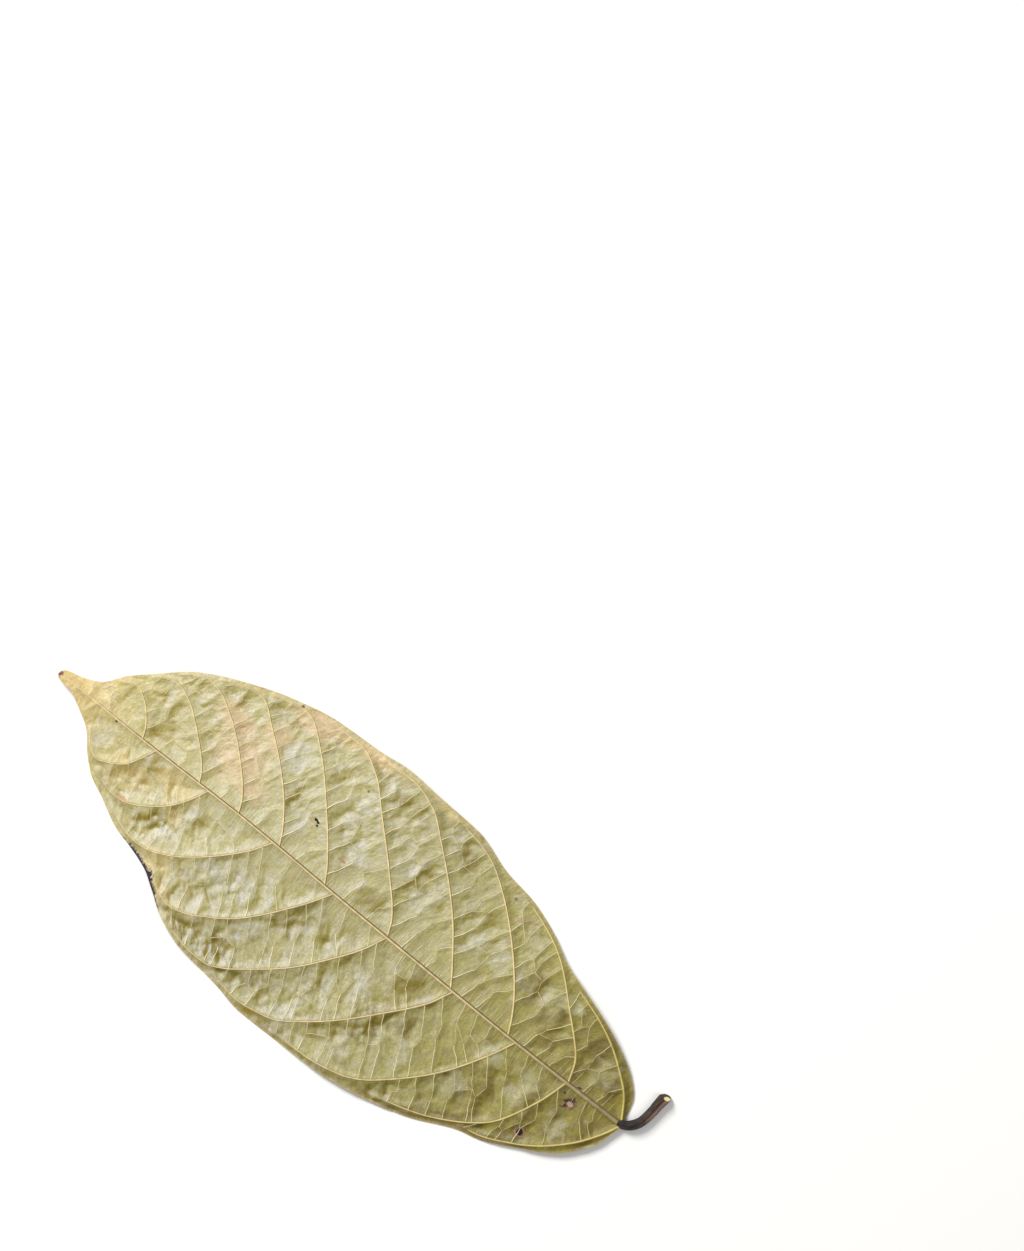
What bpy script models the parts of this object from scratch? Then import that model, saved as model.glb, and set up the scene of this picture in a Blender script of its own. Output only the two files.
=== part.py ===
"""A dried cocoa leaf with its stalk, lying with its veined underside up.

The leaf is drawn on its own ruler, in millimetres: s runs up the midrib from the
blade's base to its tip, and v runs across it, positive on the right-hand side.
The outline is a row of half widths, the midrib and each side vein are a few places
on the way from root to end, and every height is a formula of s and v. The blade is
one thin sheet with the same triangles above and below, so its two faces never meet.
"""
import bpy
import numpy as np
from mathutils import Matrix, geometry

MM = 0.001

# Blade: half widths (s, v) read along each edge, and the sheet itself
BLADE_LENGTH = 206.0
BLADE_THICK = 0.65
RIGHT_EDGE = (
    (0, 1.8), (2, 8.2), (5, 11.5), (10, 15), (20, 19.7), (35, 24.5), (40, 26), (50, 31),
    (60, 34.3), (70, 35.8), (85, 39.9), (100, 40.6), (110, 41.2), (120, 40), (135, 39.1),
    (150, 35.8), (160, 32.3), (175, 25), (185, 16.2), (190, 11.5), (195, 5.3), (200, 2.9),
    (205, 1.5), (206, 0.5),
)
LEFT_EDGE = (
    (0, 0.8), (2, 8), (5, 12.8), (10, 18), (20, 24), (30, 28.9), (35, 30.1), (50, 36.8),
    (65, 40.6), (80, 42.6), (105, 43.3), (115, 41.6), (130, 39.6), (140, 36), (147, 31.5),
    (152, 28.5), (160, 26), (165, 24.8), (175, 20), (180, 17.7), (185, 13.5), (190, 7.8),
    (195, 4.7), (200, 2.3), (205, 1.5), (206, 0.5),
)

# Midrib: how far it is from the line v = 0, then half width and rise, from base to tip
MIDRIB_LINE = (
    (0, 0.4), (20, 0.1), (45, -0.1), (75, 0.1), (100, 0.3), (125, 0.8), (138, 0.9), (150, 0.7),
    (165, 0.3), (185, 0), (206, 0),
)
MIDRIB_HALF_WIDTH = (1.4, 0.7)
MIDRIB_RISE = (1.7, 0.45)
MIDRIB_ENDS = (1.5, 2.5)

# Side veins of each half, from root to end: (s, how far from the line v = 0)
RIGHT_VEINS = (
    ((0.3, 0.4), (5, 7.5), (9, 11), (17, 16.5), (26, 20.5), (36, 23.5)),
    ((19.5, 0), (22, 6.5), (25, 10), (31, 15.5), (44, 26.5), (54, 31.5), (62, 33.5)),
    ((41.5, 0), (44, 5), (48, 11), (58, 22), (68, 30.5), (76, 35.5), (82, 37.5), (92, 39)),
    ((62.5, 0), (65.5, 4.5), (76, 17.5), (91, 31), (99, 37), (108, 39.5), (118, 39)),
    ((86, 0.5), (88, 5), (96, 14), (108, 25.5), (118, 34.5), (126, 38), (136, 37.5)),
    ((109, 0.5), (112, 5.5), (122, 17.5), (134, 29.5), (143, 35.5), (147, 36), (154, 33.5)),
    ((126, 1), (128, 5), (135, 14), (149, 26), (157, 31), (161, 31), (168, 28)),
    ((141, 1), (142.5, 4.5), (150, 13), (160, 21), (168, 25), (171, 25.5), (178, 22)),
    ((155, 0.5), (156.5, 3.5), (164, 11), (173, 17.5), (178, 19), (184, 16.5)),
    ((175.5, 0), (177, 3.5), (182, 9), (186, 11), (191, 9)),
)
LEFT_VEINS = (
    ((0, -0.4), (3, 5.5), (8, 12.5), (16, 20), (27, 26.5), (36, 29.5)),
    ((20, 0), (22.5, 8.5), (29, 21.5), (32.5, 25), (38, 29), (47, 33.5), (60, 37.5)),
    ((38.5, 0), (42, 7.5), (50.5, 21), (60.5, 31.5), (66, 36), (71, 38.5), (83, 41), (94, 41.5)),
    ((61.5, 0), (65, 7), (73, 17), (83, 28), (91, 35), (96, 38.5), (101, 40), (108, 41), (118, 39.5)),
    ((86, 0), (89, 6.5), (94, 14), (102, 24), (111, 32), (117, 36.5), (122, 38.5), (126, 38.5), (138, 36)),
    ((105.5, -0.3), (111, 8.5), (122.5, 22.5), (130, 28), (135.5, 31), (140, 32), (144.5, 31), (149, 29)),
    ((128, -0.8), (132, 5.5), (144, 17.5), (150, 21.5), (155, 23.5), (159, 24), (170, 21.5)),
    ((151.5, -0.8), (154, 4.5), (157.5, 9.5), (162, 13.5), (167, 16.5), (171, 17.5), (175, 17), (180, 15)),
    ((170.5, 0), (172.5, 4.5), (175, 8.5), (179.5, 11.5), (182.5, 12.5), (185, 11.5), (189, 8)),
)
VEIN_EDGE_GAP = 1.3
VEIN_HALF_WIDTH = (1.15, 0.9)
VEIN_RISE = (0.95, 0.3)

# Share of a ridge's length over which it fades out at its end
RIDGE_FADE = 0.08

# Net of small veins that climb like rungs between the side veins
RUNG_PITCH = 5.8
RUNG_START = -10.0
RUNG_LEAN = 0.42
RUNG_KINK = (0.9, 18.0)
RUNG_CLEAR = 1.9
RUNG_LEAST = 3.0
RUNG_HALF_WIDTH = 0.9
RUNG_RISE = 0.34
NET_FROM_TO = (2.0, 190.0)
NET_SEED = 12

# Lie of the sheet: the arch over the midrib, whose share of a half circle is given,
# the sag between veins and the edges' waves (mean, depth, length, where one peaks)
BASE_LIFT = 0.5
ARCH_RISE = 4.1
ARCH_SPAN = (0.06, 0.96)
ARCH_SHAPE = 2.2
SAG_DEPTH = 1.25
SAG_REACH = 5.5
SAG_SHAPE = 1.5
EDGE_STIFFNESS = 0.8
RIGHT_WAVE = (0.55, 1.3, 74.0, 100.0)
LEFT_WAVE = (0.3, 1.1, 66.0, 6.0)
WAVE_SHAPE = 1.5
PUCKER_DEPTH = 0.22
PUCKER_LENGTHS = ((7.6, 20.3), (-33.0, 13.4))
PUCKER_REACH = 4.0

# Stalk: (s, v, height of its middle, radius) from inside the midrib to its cut end
STALK = (
    (10.0, 0.0, 2.4, 0.6), (6.0, 0.0, 2.5, 0.95), (2.5, 0.0, 2.6, 1.25), (0.0, 0.5, 2.5, 1.35),
    (-2.2, 2.1, 2.2, 1.35), (-3.6, 4.8, 1.95, 1.35), (-4.3, 8.4, 1.7, 1.4), (-4.55, 11.4, 1.55, 1.5),
    (-4.7, 14.6, 1.6, 1.7),
)
STALK_RINGS = 20
STALK_SIDES = 12
STALK_WRINKLE = 0.07
STALK_CUT_SLOPE = 0.45

# Fineness of the triangles
EDGE_STEP = 3.4
VEIN_STEP = 3.3
RUNG_STEP = 3.2
RUNG_TRIAL = 0.5
OUTLINE_POINTS = 800
MIDRIB_POINTS = 300
VEIN_POINTS = 120
VEIN_CROWDING = 1.6
POINT_GAP = 1.25
LEAST_GAP = 0.5
MERGE_GAP = 0.05
SHARP_ANGLE = 0.7

# Plain finishes: linear colour and roughness
BLADE_FINISH = ((0.42, 0.40, 0.19), 0.6)
STALK_FINISH = ((0.10, 0.06, 0.045), 0.7)


def clear_objects():
    for item in list(bpy.data.objects):
        bpy.data.objects.remove(item, do_unlink=True)


def smooth_curve(knots, at):
    """A curve through the knots that never overshoots them: cubic pieces whose
    slope at a knot is the harmonic mean of the slopes beside it."""
    x, y = np.array(knots, float).T
    step = np.diff(x)
    rise = np.diff(y) / step
    level = rise[:-1] * rise[1:] <= 0
    mean = 2 * rise[:-1] * rise[1:] / np.where(level, 1, rise[:-1] + rise[1:])
    slope = np.r_[rise[0], np.where(level, 0, mean), rise[-1]]
    k = np.clip(np.searchsorted(x, at, side="right") - 1, 0, len(step) - 1)
    t = (np.asarray(at, float) - x[k]) / step[k]
    return (
        y[k] * (1 + 2 * t) * (1 - t) ** 2
        + y[k + 1] * t * t * (3 - 2 * t)
        + step[k] * t * (1 - t) * (slope[k] * (1 - t) - slope[k + 1] * t)
    )


def midrib_at(s):
    """The midrib's distance from the line v = 0, positive to the right."""
    return smooth_curve(MIDRIB_LINE, np.clip(s, 0, BLADE_LENGTH))


def edge_at(side, s):
    """How far the edge is from the line s on that side, always positive."""
    return smooth_curve(RIGHT_EDGE if side > 0 else LEFT_EDGE, np.clip(s, 0, BLADE_LENGTH))


def vein_offset(side, knots, s):
    """The vein's distance from the line v = 0, kept clear of the edge."""
    within = np.clip(s, knots[0][0], knots[-1][0])
    return np.minimum(smooth_curve(knots, within), edge_at(side, s) - VEIN_EDGE_GAP)


def even_line(line, step):
    """The same line with points about one step apart along its length."""
    run = np.r_[0, np.cumsum(np.linalg.norm(np.diff(line, axis=0), axis=1))]
    at = np.linspace(0, run[-1], max(2, int(round(run[-1] / step)) + 1))
    return np.stack([np.interp(at, run, line[:, 0]), np.interp(at, run, line[:, 1])], axis=1)


def outline():
    """The blade's edge as one closed loop, up the right side and down the left."""
    s = np.linspace(0, BLADE_LENGTH, OUTLINE_POINTS)
    right = even_line(np.stack([s, edge_at(1, s)], axis=1), EDGE_STEP)
    left = even_line(np.stack([s, -edge_at(-1, s)], axis=1), EDGE_STEP)
    return np.concatenate([right, left[::-1]])


def side_vein(side, knots):
    """Points (s, v) of one side vein, closer together near its root where it bends most."""
    root, tip = knots[0][0], knots[-1][0]
    s = root + (tip - root) * np.linspace(0, 1, VEIN_POINTS) ** VEIN_CROWDING
    return np.stack([s, side * vein_offset(side, knots, s)], axis=1)


def beside(line, gap):
    """The line moved sideways by the gap, to its left when the gap is positive."""
    way = np.gradient(line, axis=0)
    way /= np.linalg.norm(way, axis=1)[:, None]
    return line + gap * np.stack([-way[:, 1], way[:, 0]], axis=1)


def near_line(points, line):
    """Each point's distance to a line, and how far along it, 0 to 1, the nearest place is."""
    start, way = line[:-1], np.diff(line, axis=0)
    offset = points[:, None] - start
    part = np.clip((offset * way).sum(-1) / (way * way).sum(-1), 0, 1)
    gap = np.linalg.norm(offset - part[..., None] * way, axis=-1)
    best = gap.argmin(axis=1)
    row = np.arange(len(points))
    return gap[row, best], (best + part[row, best]) / len(way)


def rungs(side, rng):
    """The small veins of one half. In the field between two side veins they run
    outwards and lean back to the base, each with one kink halfway."""
    veins = RIGHT_VEINS if side > 0 else LEFT_VEINS
    widest = max(v for _, v in RIGHT_EDGE + LEFT_EDGE)
    out = np.arange(0, widest, RUNG_TRIAL)
    crests, valleys = [], []
    for k, knots in enumerate(veins):
        root = knots[0][0]
        shift = rng.uniform(0, RUNG_PITCH)
        for half_step in range(int(2 * BLADE_LENGTH / RUNG_PITCH)):
            foot = root + RUNG_START + shift + 0.5 * half_step * RUNG_PITCH
            kink = RUNG_KINK[0] * np.abs(np.sin(2 * np.pi * out / RUNG_KINK[1] + shift))
            s = foot - RUNG_LEAN * out + kink
            outer = vein_offset(side, knots, s)
            inner = np.full_like(s, midrib_at(foot) * side)
            if k + 1 < len(veins):
                following = vein_offset(side, veins[k + 1], s)
                inner = np.where(s > veins[k + 1][0][0], following, inner)
            within = (out > inner + RUNG_CLEAR) & (out < outer - RUNG_CLEAR)
            within &= (s > NET_FROM_TO[0]) & (s < NET_FROM_TO[1])
            if np.count_nonzero(within) * RUNG_TRIAL < RUNG_LEAST:
                continue
            line = even_line(np.stack([s, side * out], axis=1)[within], RUNG_STEP)
            (valleys if half_step % 2 else crests).append(line)
    return crests, valleys


def ridge(points, line, half_width, rise):
    """A rounded ridge along a line: it falls with the square of the distance from its
    crest, its width and rise go from their first value to their second, and its end fades."""
    gap, along = near_line(points, line)
    width = half_width[0] + (half_width[1] - half_width[0]) * along
    height = rise[0] + (rise[1] - rise[0]) * along
    fade = np.clip((1 - along) / RIDGE_FADE, 0, 1)
    return height * fade * np.clip(1 - (gap / width) ** 2, 0, None)


def sheet_height(points, veins, edge):
    """Height of the sheet's lower face: an arch over the midrib, waves at the edges,
    a sag that deepens away from every vein, and flat where it meets the surface."""
    s, v = points.T
    right = v > midrib_at(s)
    out = np.abs(v) / np.where(right, edge_at(1, s), edge_at(-1, s))
    span = np.interp(s, (0, BLADE_LENGTH), ARCH_SPAN)
    arch = ARCH_RISE * np.sin(np.pi * span) * (1 - out ** ARCH_SHAPE)
    waves = []
    for mean, depth, length, peak in (RIGHT_WAVE, LEFT_WAVE):
        waves.append(mean + depth * np.cos(2 * np.pi * (s - peak) / length))
    wave = np.where(right, waves[0], waves[1]) * out ** WAVE_SHAPE
    gap = near_line(points, edge)[0] + EDGE_STIFFNESS
    for line in veins:
        gap = np.minimum(gap, near_line(points, line)[0])
    sag = SAG_DEPTH * (1 - np.exp(-((gap / SAG_REACH) ** SAG_SHAPE)))
    pucker = PUCKER_DEPTH * np.clip(gap / PUCKER_REACH, 0, 1)
    for along, across in PUCKER_LENGTHS:
        pucker *= np.sin(2 * np.pi * (s / along + v / across))
    return np.maximum(BASE_LIFT + arch + wave - sag + pucker, 0)


def split_plan(loop, lines, loose):
    """Triangles that fill the outline and keep to every line in it."""
    rows = [tuple(p) for p in loop]
    pairs = [(k, (k + 1) % len(loop)) for k in range(len(loop))]
    for line in lines:
        pairs += [(len(rows) + k, len(rows) + k + 1) for k in range(len(line) - 1)]
        rows += [tuple(p) for p in line]
    rows += [tuple(p) for p in loose]
    found, _, faces, *_ = geometry.delaunay_2d_cdt(rows, pairs, [], 1, MERGE_GAP)
    plan = np.array([tuple(p) for p in found])
    a, b, c = (plan[[f[k] for f in faces]] for k in range(3))
    turn = np.cross(b - a, c - a)
    return plan, [f if t > 0 else f[::-1] for f, t in zip(faces, turn)]


def keep_apart(points, lines, gap):
    """Only the points that lie further than the gap from every line and from each other."""
    near = np.full(len(points), np.inf)
    for line in lines:
        near = np.minimum(near, near_line(points, line)[0])
    kept = []
    for point in points[near > gap]:
        if not kept or np.linalg.norm(np.array(kept) - point, axis=1).min() > gap:
            kept.append(point)
    return np.array(kept)


def closed_sheet(plan, faces, below, above):
    """Upper face, lower face turned over, and a rim along every edge with one face."""
    count = len(plan)
    rows = np.concatenate([np.c_[plan[:, ::-1], above], np.c_[plan[:, ::-1], below]])
    upper = [tuple(f[::-1]) for f in faces]
    lower = [tuple(k + count for k in f) for f in faces]
    sides = {(f[k], f[(k + 1) % 3]) for f in upper for k in range(3)}
    rim = [(b, a, a + count, b + count) for a, b in sides if (b, a) not in sides]
    return rows, upper + lower + rim


def tube(path, sides, wrinkle, cut_slope):
    """A wrinkled tube along (x, y, z, radius) rows, with its far end cut on a slope."""
    middle, radius = path[:, :3], path[:, 3]
    way = np.gradient(middle, axis=0)
    way /= np.linalg.norm(way, axis=1)[:, None]
    across = np.cross(way, (0, 0, 1))
    across /= np.linalg.norm(across, axis=1)[:, None]
    up = np.cross(across, way)
    angle = 2 * np.pi * (np.arange(sides) + 0.5) / sides
    fold = 1 + wrinkle * np.where(np.arange(sides) % 2, 1, -1)
    rings = middle[:, None] + radius[:, None, None] * fold[:, None] * (
        np.cos(angle)[:, None] * across[:, None] + np.sin(angle)[:, None] * up[:, None]
    )
    rings[-1] += cut_slope * radius[-1] * np.cos(angle)[:, None] * way[-1]
    rows = rings.reshape(-1, 3)
    rows[:, 2] = np.maximum(rows[:, 2], 0)
    faces = [tuple(range(sides)), tuple(len(rows) - sides + k for k in range(sides))[::-1]]
    for ring in range(len(path) - 1):
        for k in range(sides):
            a, b = ring * sides + k, ring * sides + (k + 1) % sides
            faces.append((a, a + sides, b + sides, b))
    return rows, faces


def add_object(name, rows, faces, material):
    mesh = bpy.data.meshes.new(name)
    mesh.from_pydata((np.asarray(rows) * MM).tolist(), [], faces)
    mesh.materials.append(material)
    item = bpy.data.objects.new(name, mesh)
    bpy.context.scene.collection.objects.link(item)
    return item


def plain_material(name, colour, roughness):
    material = bpy.data.materials.new(name)
    material.use_nodes = True
    shader = material.node_tree.nodes["Principled BSDF"]
    shader.inputs["Base Color"].default_value = (*colour, 1)
    shader.inputs["Roughness"].default_value = roughness
    shader.inputs["Metallic"].default_value = 0
    return material


def ridge_feet(midrib, veins):
    """Lines along both feet of every ridge, and halfway up the midrib's two sides."""
    half_width = np.linspace(*MIDRIB_HALF_WIDTH, len(midrib))[:, None]
    feet = [midrib + share * half_width * np.array([0, 1]) for share in (-1, -0.5, 0.5, 1)]
    for line in veins:
        from_midrib = np.abs(line[:, 1] - midrib_at(line[:, 0]))
        clear = line[from_midrib > MIDRIB_HALF_WIDTH[0] + RUNG_CLEAR]
        for gap in (VEIN_HALF_WIDTH[0], -VEIN_HALF_WIDTH[0]):
            feet.append(even_line(beside(clear, gap), VEIN_STEP))
    return feet


def make_blade(material):
    """Every ridge is a row of points in the plan, so the triangles follow the veins."""
    loop = outline()
    edge = np.concatenate([loop, loop[:1]])
    s = np.linspace(MIDRIB_ENDS[0], BLADE_LENGTH - MIDRIB_ENDS[1], MIDRIB_POINTS)
    midrib = even_line(np.stack([s, midrib_at(s)], axis=1), VEIN_STEP)
    veins = [side_vein(1, knots) for knots in RIGHT_VEINS]
    veins += [side_vein(-1, knots) for knots in LEFT_VEINS]
    rng = np.random.default_rng(NET_SEED)
    crests, valleys = (a + b for a, b in zip(rungs(1, rng), rungs(-1, rng)))
    spines = [midrib] + [even_line(line, VEIN_STEP) for line in veins]
    spines = [line[line[:, 0] > LEAST_GAP] for line in spines]
    feet = ridge_feet(midrib[:-2], veins)
    fixed = [edge] + spines + crests
    loose = np.concatenate([
        keep_apart(np.concatenate(feet), fixed, LEAST_GAP),
        keep_apart(np.concatenate(valleys), fixed + feet, POINT_GAP),
    ])
    plan, faces = split_plan(loop, spines + crests, loose)

    below = sheet_height(plan, [midrib] + veins, edge)
    relief = ridge(plan, midrib, MIDRIB_HALF_WIDTH, MIDRIB_RISE)
    for line in veins:
        relief = np.maximum(relief, ridge(plan, line, VEIN_HALF_WIDTH, VEIN_RISE))
    for line in crests:
        rung = ridge(plan, line, (RUNG_HALF_WIDTH, RUNG_HALF_WIDTH), (RUNG_RISE, RUNG_RISE))
        relief = np.maximum(relief, rung)
    rows, sheet = closed_sheet(plan, faces, below, below + BLADE_THICK + relief)
    return add_object("cocoa_leaf", rows, sheet, material)


def make_stalk(material):
    knots = np.array(STALK, float)
    run = np.r_[0, np.cumsum(np.linalg.norm(np.diff(knots[:, :3], axis=0), axis=1))]
    at = np.linspace(0, run[-1], STALK_RINGS)
    s, v, z, radius = (smooth_curve(np.c_[run, column], at) for column in knots.T)
    rows, faces = tube(np.stack([v, s, z, radius], axis=1), STALK_SIDES, STALK_WRINKLE, STALK_CUT_SLOPE)
    return add_object("stalk_end", rows, faces, material)


def grow_together(blade, stalk):
    """The stalk and the blade are one growth, so they are joined into one body."""
    join = blade.modifiers.new("grow_together", "BOOLEAN")
    join.operation = "UNION"
    join.solver = "EXACT"
    join.object = stalk
    depsgraph = bpy.context.evaluated_depsgraph_get()
    grown = bpy.data.meshes.new_from_object(blade.evaluated_get(depsgraph))
    blade.modifiers.clear()
    blade.data = grown
    bpy.data.objects.remove(stalk, do_unlink=True)


def set_down(item):
    """The origin goes to the middle of the leaf's box, on the surface it lies on."""
    corners = np.empty(len(item.data.vertices) * 3)
    item.data.vertices.foreach_get("co", corners)
    low, high = corners.reshape(-1, 3).min(axis=0), corners.reshape(-1, 3).max(axis=0)
    middle = (low + high) / 2
    item.data.transform(Matrix.Translation((-middle[0], -middle[1], -low[2])))


def main():
    clear_objects()
    dry_blade = plain_material("dried_leaf_blade", *BLADE_FINISH)
    dry_stalk = plain_material("dried_leaf_stalk", *STALK_FINISH)
    blade = make_blade(dry_blade)
    blade.data.materials.append(dry_stalk)
    grow_together(blade, make_stalk(dry_stalk))
    set_down(blade)
    blade.data.shade_smooth()
    blade.data.set_sharp_from_angle(angle=SHARP_ANGLE)
    print("triangles:", sum(len(face.vertices) - 2 for face in blade.data.polygons))


main()
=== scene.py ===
# %% [markdown]
# # A dried cocoa leaf
#
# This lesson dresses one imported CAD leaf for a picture. A dry cocoa leaf is a paper-thin
# blade that shrank between its veins, so almost all of its look is relief: the veins stand
# up from the underside that faces us, and the tissue between them sags, buckles and shines.
# Everything here is worked out from a few numbers on the leaf's own ruler: s runs up the
# midrib from the base to the tip, v runs across it, and both are in millimetres.

import bpy
import numpy as np
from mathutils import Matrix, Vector


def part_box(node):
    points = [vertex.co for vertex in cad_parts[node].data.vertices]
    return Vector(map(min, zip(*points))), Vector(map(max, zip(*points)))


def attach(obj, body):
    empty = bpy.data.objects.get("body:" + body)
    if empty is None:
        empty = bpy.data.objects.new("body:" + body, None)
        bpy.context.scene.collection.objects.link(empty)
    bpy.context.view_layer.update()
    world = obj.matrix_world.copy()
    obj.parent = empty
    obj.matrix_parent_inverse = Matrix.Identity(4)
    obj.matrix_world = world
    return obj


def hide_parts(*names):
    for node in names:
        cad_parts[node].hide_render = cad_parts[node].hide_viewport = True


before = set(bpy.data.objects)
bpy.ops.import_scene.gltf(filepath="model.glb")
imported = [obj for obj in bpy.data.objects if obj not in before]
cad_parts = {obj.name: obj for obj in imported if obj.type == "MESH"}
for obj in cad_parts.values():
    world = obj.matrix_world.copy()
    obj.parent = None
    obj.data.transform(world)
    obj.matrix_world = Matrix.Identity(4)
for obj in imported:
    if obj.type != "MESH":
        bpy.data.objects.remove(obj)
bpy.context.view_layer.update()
low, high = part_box("cocoa_leaf")
MM = 0.001
print("packed leaf, mm:", [round(size / MM, 2) for size in high - low])

# %% [markdown]
# ## The leaf's own ruler
#
# A leaf is easiest to describe from its midrib. The outline is a row of half widths, and the
# midrib and each side vein are a few places on the way from root to end. Tracing a picture
# would give hundreds of points that mean nothing; these few are sizes that anyone could
# measure on a leaf, and one curve formula joins them all. Two shifts take the ruler to the
# frame that the CAD leaf lies in.

# %% Outline of the blade
BLADE_LENGTH = 206.0
LEFT_MOST = -43.3
# Places along the midrib, and how far the edge is from v = 0 there
RIGHT_EDGE = (
    (0, 1.8), (2, 8.2), (5, 11.5), (10, 15), (20, 19.7), (35, 24.5), (40, 26), (50, 31),
    (60, 34.3), (70, 35.8), (85, 39.9), (100, 40.6), (110, 41.2), (120, 40), (135, 39.1),
    (150, 35.8), (160, 32.3), (175, 25), (185, 16.2), (190, 11.5), (195, 5.3), (200, 2.9),
    (205, 1.5), (206, 0.5),
)
LEFT_EDGE = (
    (0, 0.8), (2, 8), (5, 12.8), (10, 18), (20, 24), (30, 28.9), (35, 30.1), (50, 36.8),
    (65, 40.6), (80, 42.6), (105, 43.3), (115, 41.6), (130, 39.6), (140, 36), (147, 31.5),
    (152, 28.5), (160, 26), (165, 24.8), (175, 20), (180, 17.7), (185, 13.5), (190, 7.8),
    (195, 4.7), (200, 2.3), (205, 1.5), (206, 0.5),
)
V_SHIFT = LEFT_MOST - low.x / MM
S_SHIFT = BLADE_LENGTH - high.y / MM


def smooth_curve(knots, at):
    """A curve through the knots that never overshoots them: cubic pieces whose slope at a
    knot is the harmonic mean of the slopes beside it."""
    x, y = np.array(knots, float).T
    step = np.diff(x)
    rise = np.diff(y) / step
    level = rise[:-1] * rise[1:] <= 0
    mean = 2 * rise[:-1] * rise[1:] / np.where(level, 1, rise[:-1] + rise[1:])
    slope = np.r_[rise[0], np.where(level, 0, mean), rise[-1]]
    k = np.clip(np.searchsorted(x, at, side="right") - 1, 0, len(step) - 1)
    t = (np.asarray(at, float) - x[k]) / step[k]
    return (
        y[k] * (1 + 2 * t) * (1 - t) ** 2
        + y[k + 1] * t * t * (3 - 2 * t)
        + step[k] * t * (1 - t) * (slope[k] * (1 - t) - slope[k + 1] * t)
    )


def edge_at(side, s):
    """How far the edge is from the line v = 0 on that side."""
    return smooth_curve(RIGHT_EDGE if side > 0 else LEFT_EDGE, np.clip(s, 0, BLADE_LENGTH))


print("widest, mm:", max(v for _, v in RIGHT_EDGE) + max(v for _, v in LEFT_EDGE))

# %% Midrib and side veins
# Places (s, v) on the midrib, and on each side vein with v as its distance from v = 0
MIDRIB_LINE = (
    (0, 0.4), (20, 0.1), (45, -0.1), (75, 0.1), (100, 0.3), (125, 0.8), (138, 0.9), (150, 0.7),
    (165, 0.3), (185, 0), (206, 0),
)
RIGHT_VEINS = (
    ((0.3, 0.4), (5, 7.5), (9, 11), (17, 16.5), (26, 20.5), (36, 23.5)),
    ((19.5, 0), (22, 6.5), (25, 10), (31, 15.5), (44, 26.5), (54, 31.5), (62, 33.5)),
    ((41.5, 0), (44, 5), (48, 11), (58, 22), (68, 30.5), (76, 35.5), (82, 37.5), (92, 39)),
    ((62.5, 0), (65.5, 4.5), (76, 17.5), (91, 31), (99, 37), (108, 39.5), (118, 39)),
    ((86, 0.5), (88, 5), (96, 14), (108, 25.5), (118, 34.5), (126, 38), (136, 37.5)),
    ((109, 0.5), (112, 5.5), (122, 17.5), (134, 29.5), (143, 35.5), (147, 36), (154, 33.5)),
    ((126, 1), (128, 5), (135, 14), (149, 26), (157, 31), (161, 31), (168, 28)),
    ((141, 1), (142.5, 4.5), (150, 13), (160, 21), (168, 25), (171, 25.5), (178, 22)),
    ((155, 0.5), (156.5, 3.5), (164, 11), (173, 17.5), (178, 19), (184, 16.5)),
    ((175.5, 0), (177, 3.5), (182, 9), (186, 11), (191, 9)),
)
LEFT_VEINS = (
    ((0, -0.4), (3, 5.5), (8, 12.5), (16, 20), (27, 26.5), (36, 29.5)),
    ((20, 0), (22.5, 8.5), (29, 21.5), (32.5, 25), (38, 29), (47, 33.5), (60, 37.5)),
    ((38.5, 0), (42, 7.5), (50.5, 21), (60.5, 31.5), (66, 36), (71, 38.5), (83, 41), (94, 41.5)),
    ((61.5, 0), (65, 7), (73, 17), (83, 28), (91, 35), (96, 38.5), (101, 40), (108, 41), (118, 39.5)),
    ((86, 0), (89, 6.5), (94, 14), (102, 24), (111, 32), (117, 36.5), (122, 38.5), (126, 38.5), (138, 36)),
    ((105.5, -0.3), (111, 8.5), (122.5, 22.5), (130, 28), (135.5, 31), (140, 32), (144.5, 31), (149, 29)),
    ((128, -0.8), (132, 5.5), (144, 17.5), (150, 21.5), (155, 23.5), (159, 24), (170, 21.5)),
    ((151.5, -0.8), (154, 4.5), (157.5, 9.5), (162, 13.5), (167, 16.5), (171, 17.5), (175, 17), (180, 15)),
    ((170.5, 0), (172.5, 4.5), (175, 8.5), (179.5, 11.5), (182.5, 12.5), (185, 11.5), (189, 8)),
)
# No side vein comes nearer to the edge than this
VEIN_EDGE_GAP = 1.3
VEIN_POINTS = 60
VEIN_CROWDING = 1.6


def midrib_at(s):
    """The midrib's distance from the line v = 0, positive to the right."""
    return smooth_curve(MIDRIB_LINE, np.clip(s, 0, BLADE_LENGTH))


def vein_offset(side, knots, s):
    """The vein's distance from the line v = 0, kept clear of the edge."""
    within = np.clip(s, knots[0][0], knots[-1][0])
    return np.minimum(smooth_curve(knots, within), edge_at(side, s) - VEIN_EDGE_GAP)


def side_vein(side, knots):
    """Points (s, v) of one side vein, closer together near its root where it bends most."""
    root, tip = knots[0][0], knots[-1][0]
    s = root + (tip - root) * np.linspace(0, 1, VEIN_POINTS) ** VEIN_CROWDING
    return np.stack([s, side * vein_offset(side, knots, s)], axis=1)


midrib_s = np.linspace(0, BLADE_LENGTH, 2 * VEIN_POINTS)
midrib_line = np.stack([midrib_s, midrib_at(midrib_s)], axis=1)
sided_veins = [(1, knots) for knots in RIGHT_VEINS] + [(-1, knots) for knots in LEFT_VEINS]
side_lines = [side_vein(side, knots) for side, knots in sided_veins]
print("side veins:", len(RIGHT_VEINS), "right,", len(LEFT_VEINS), "left")

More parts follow.
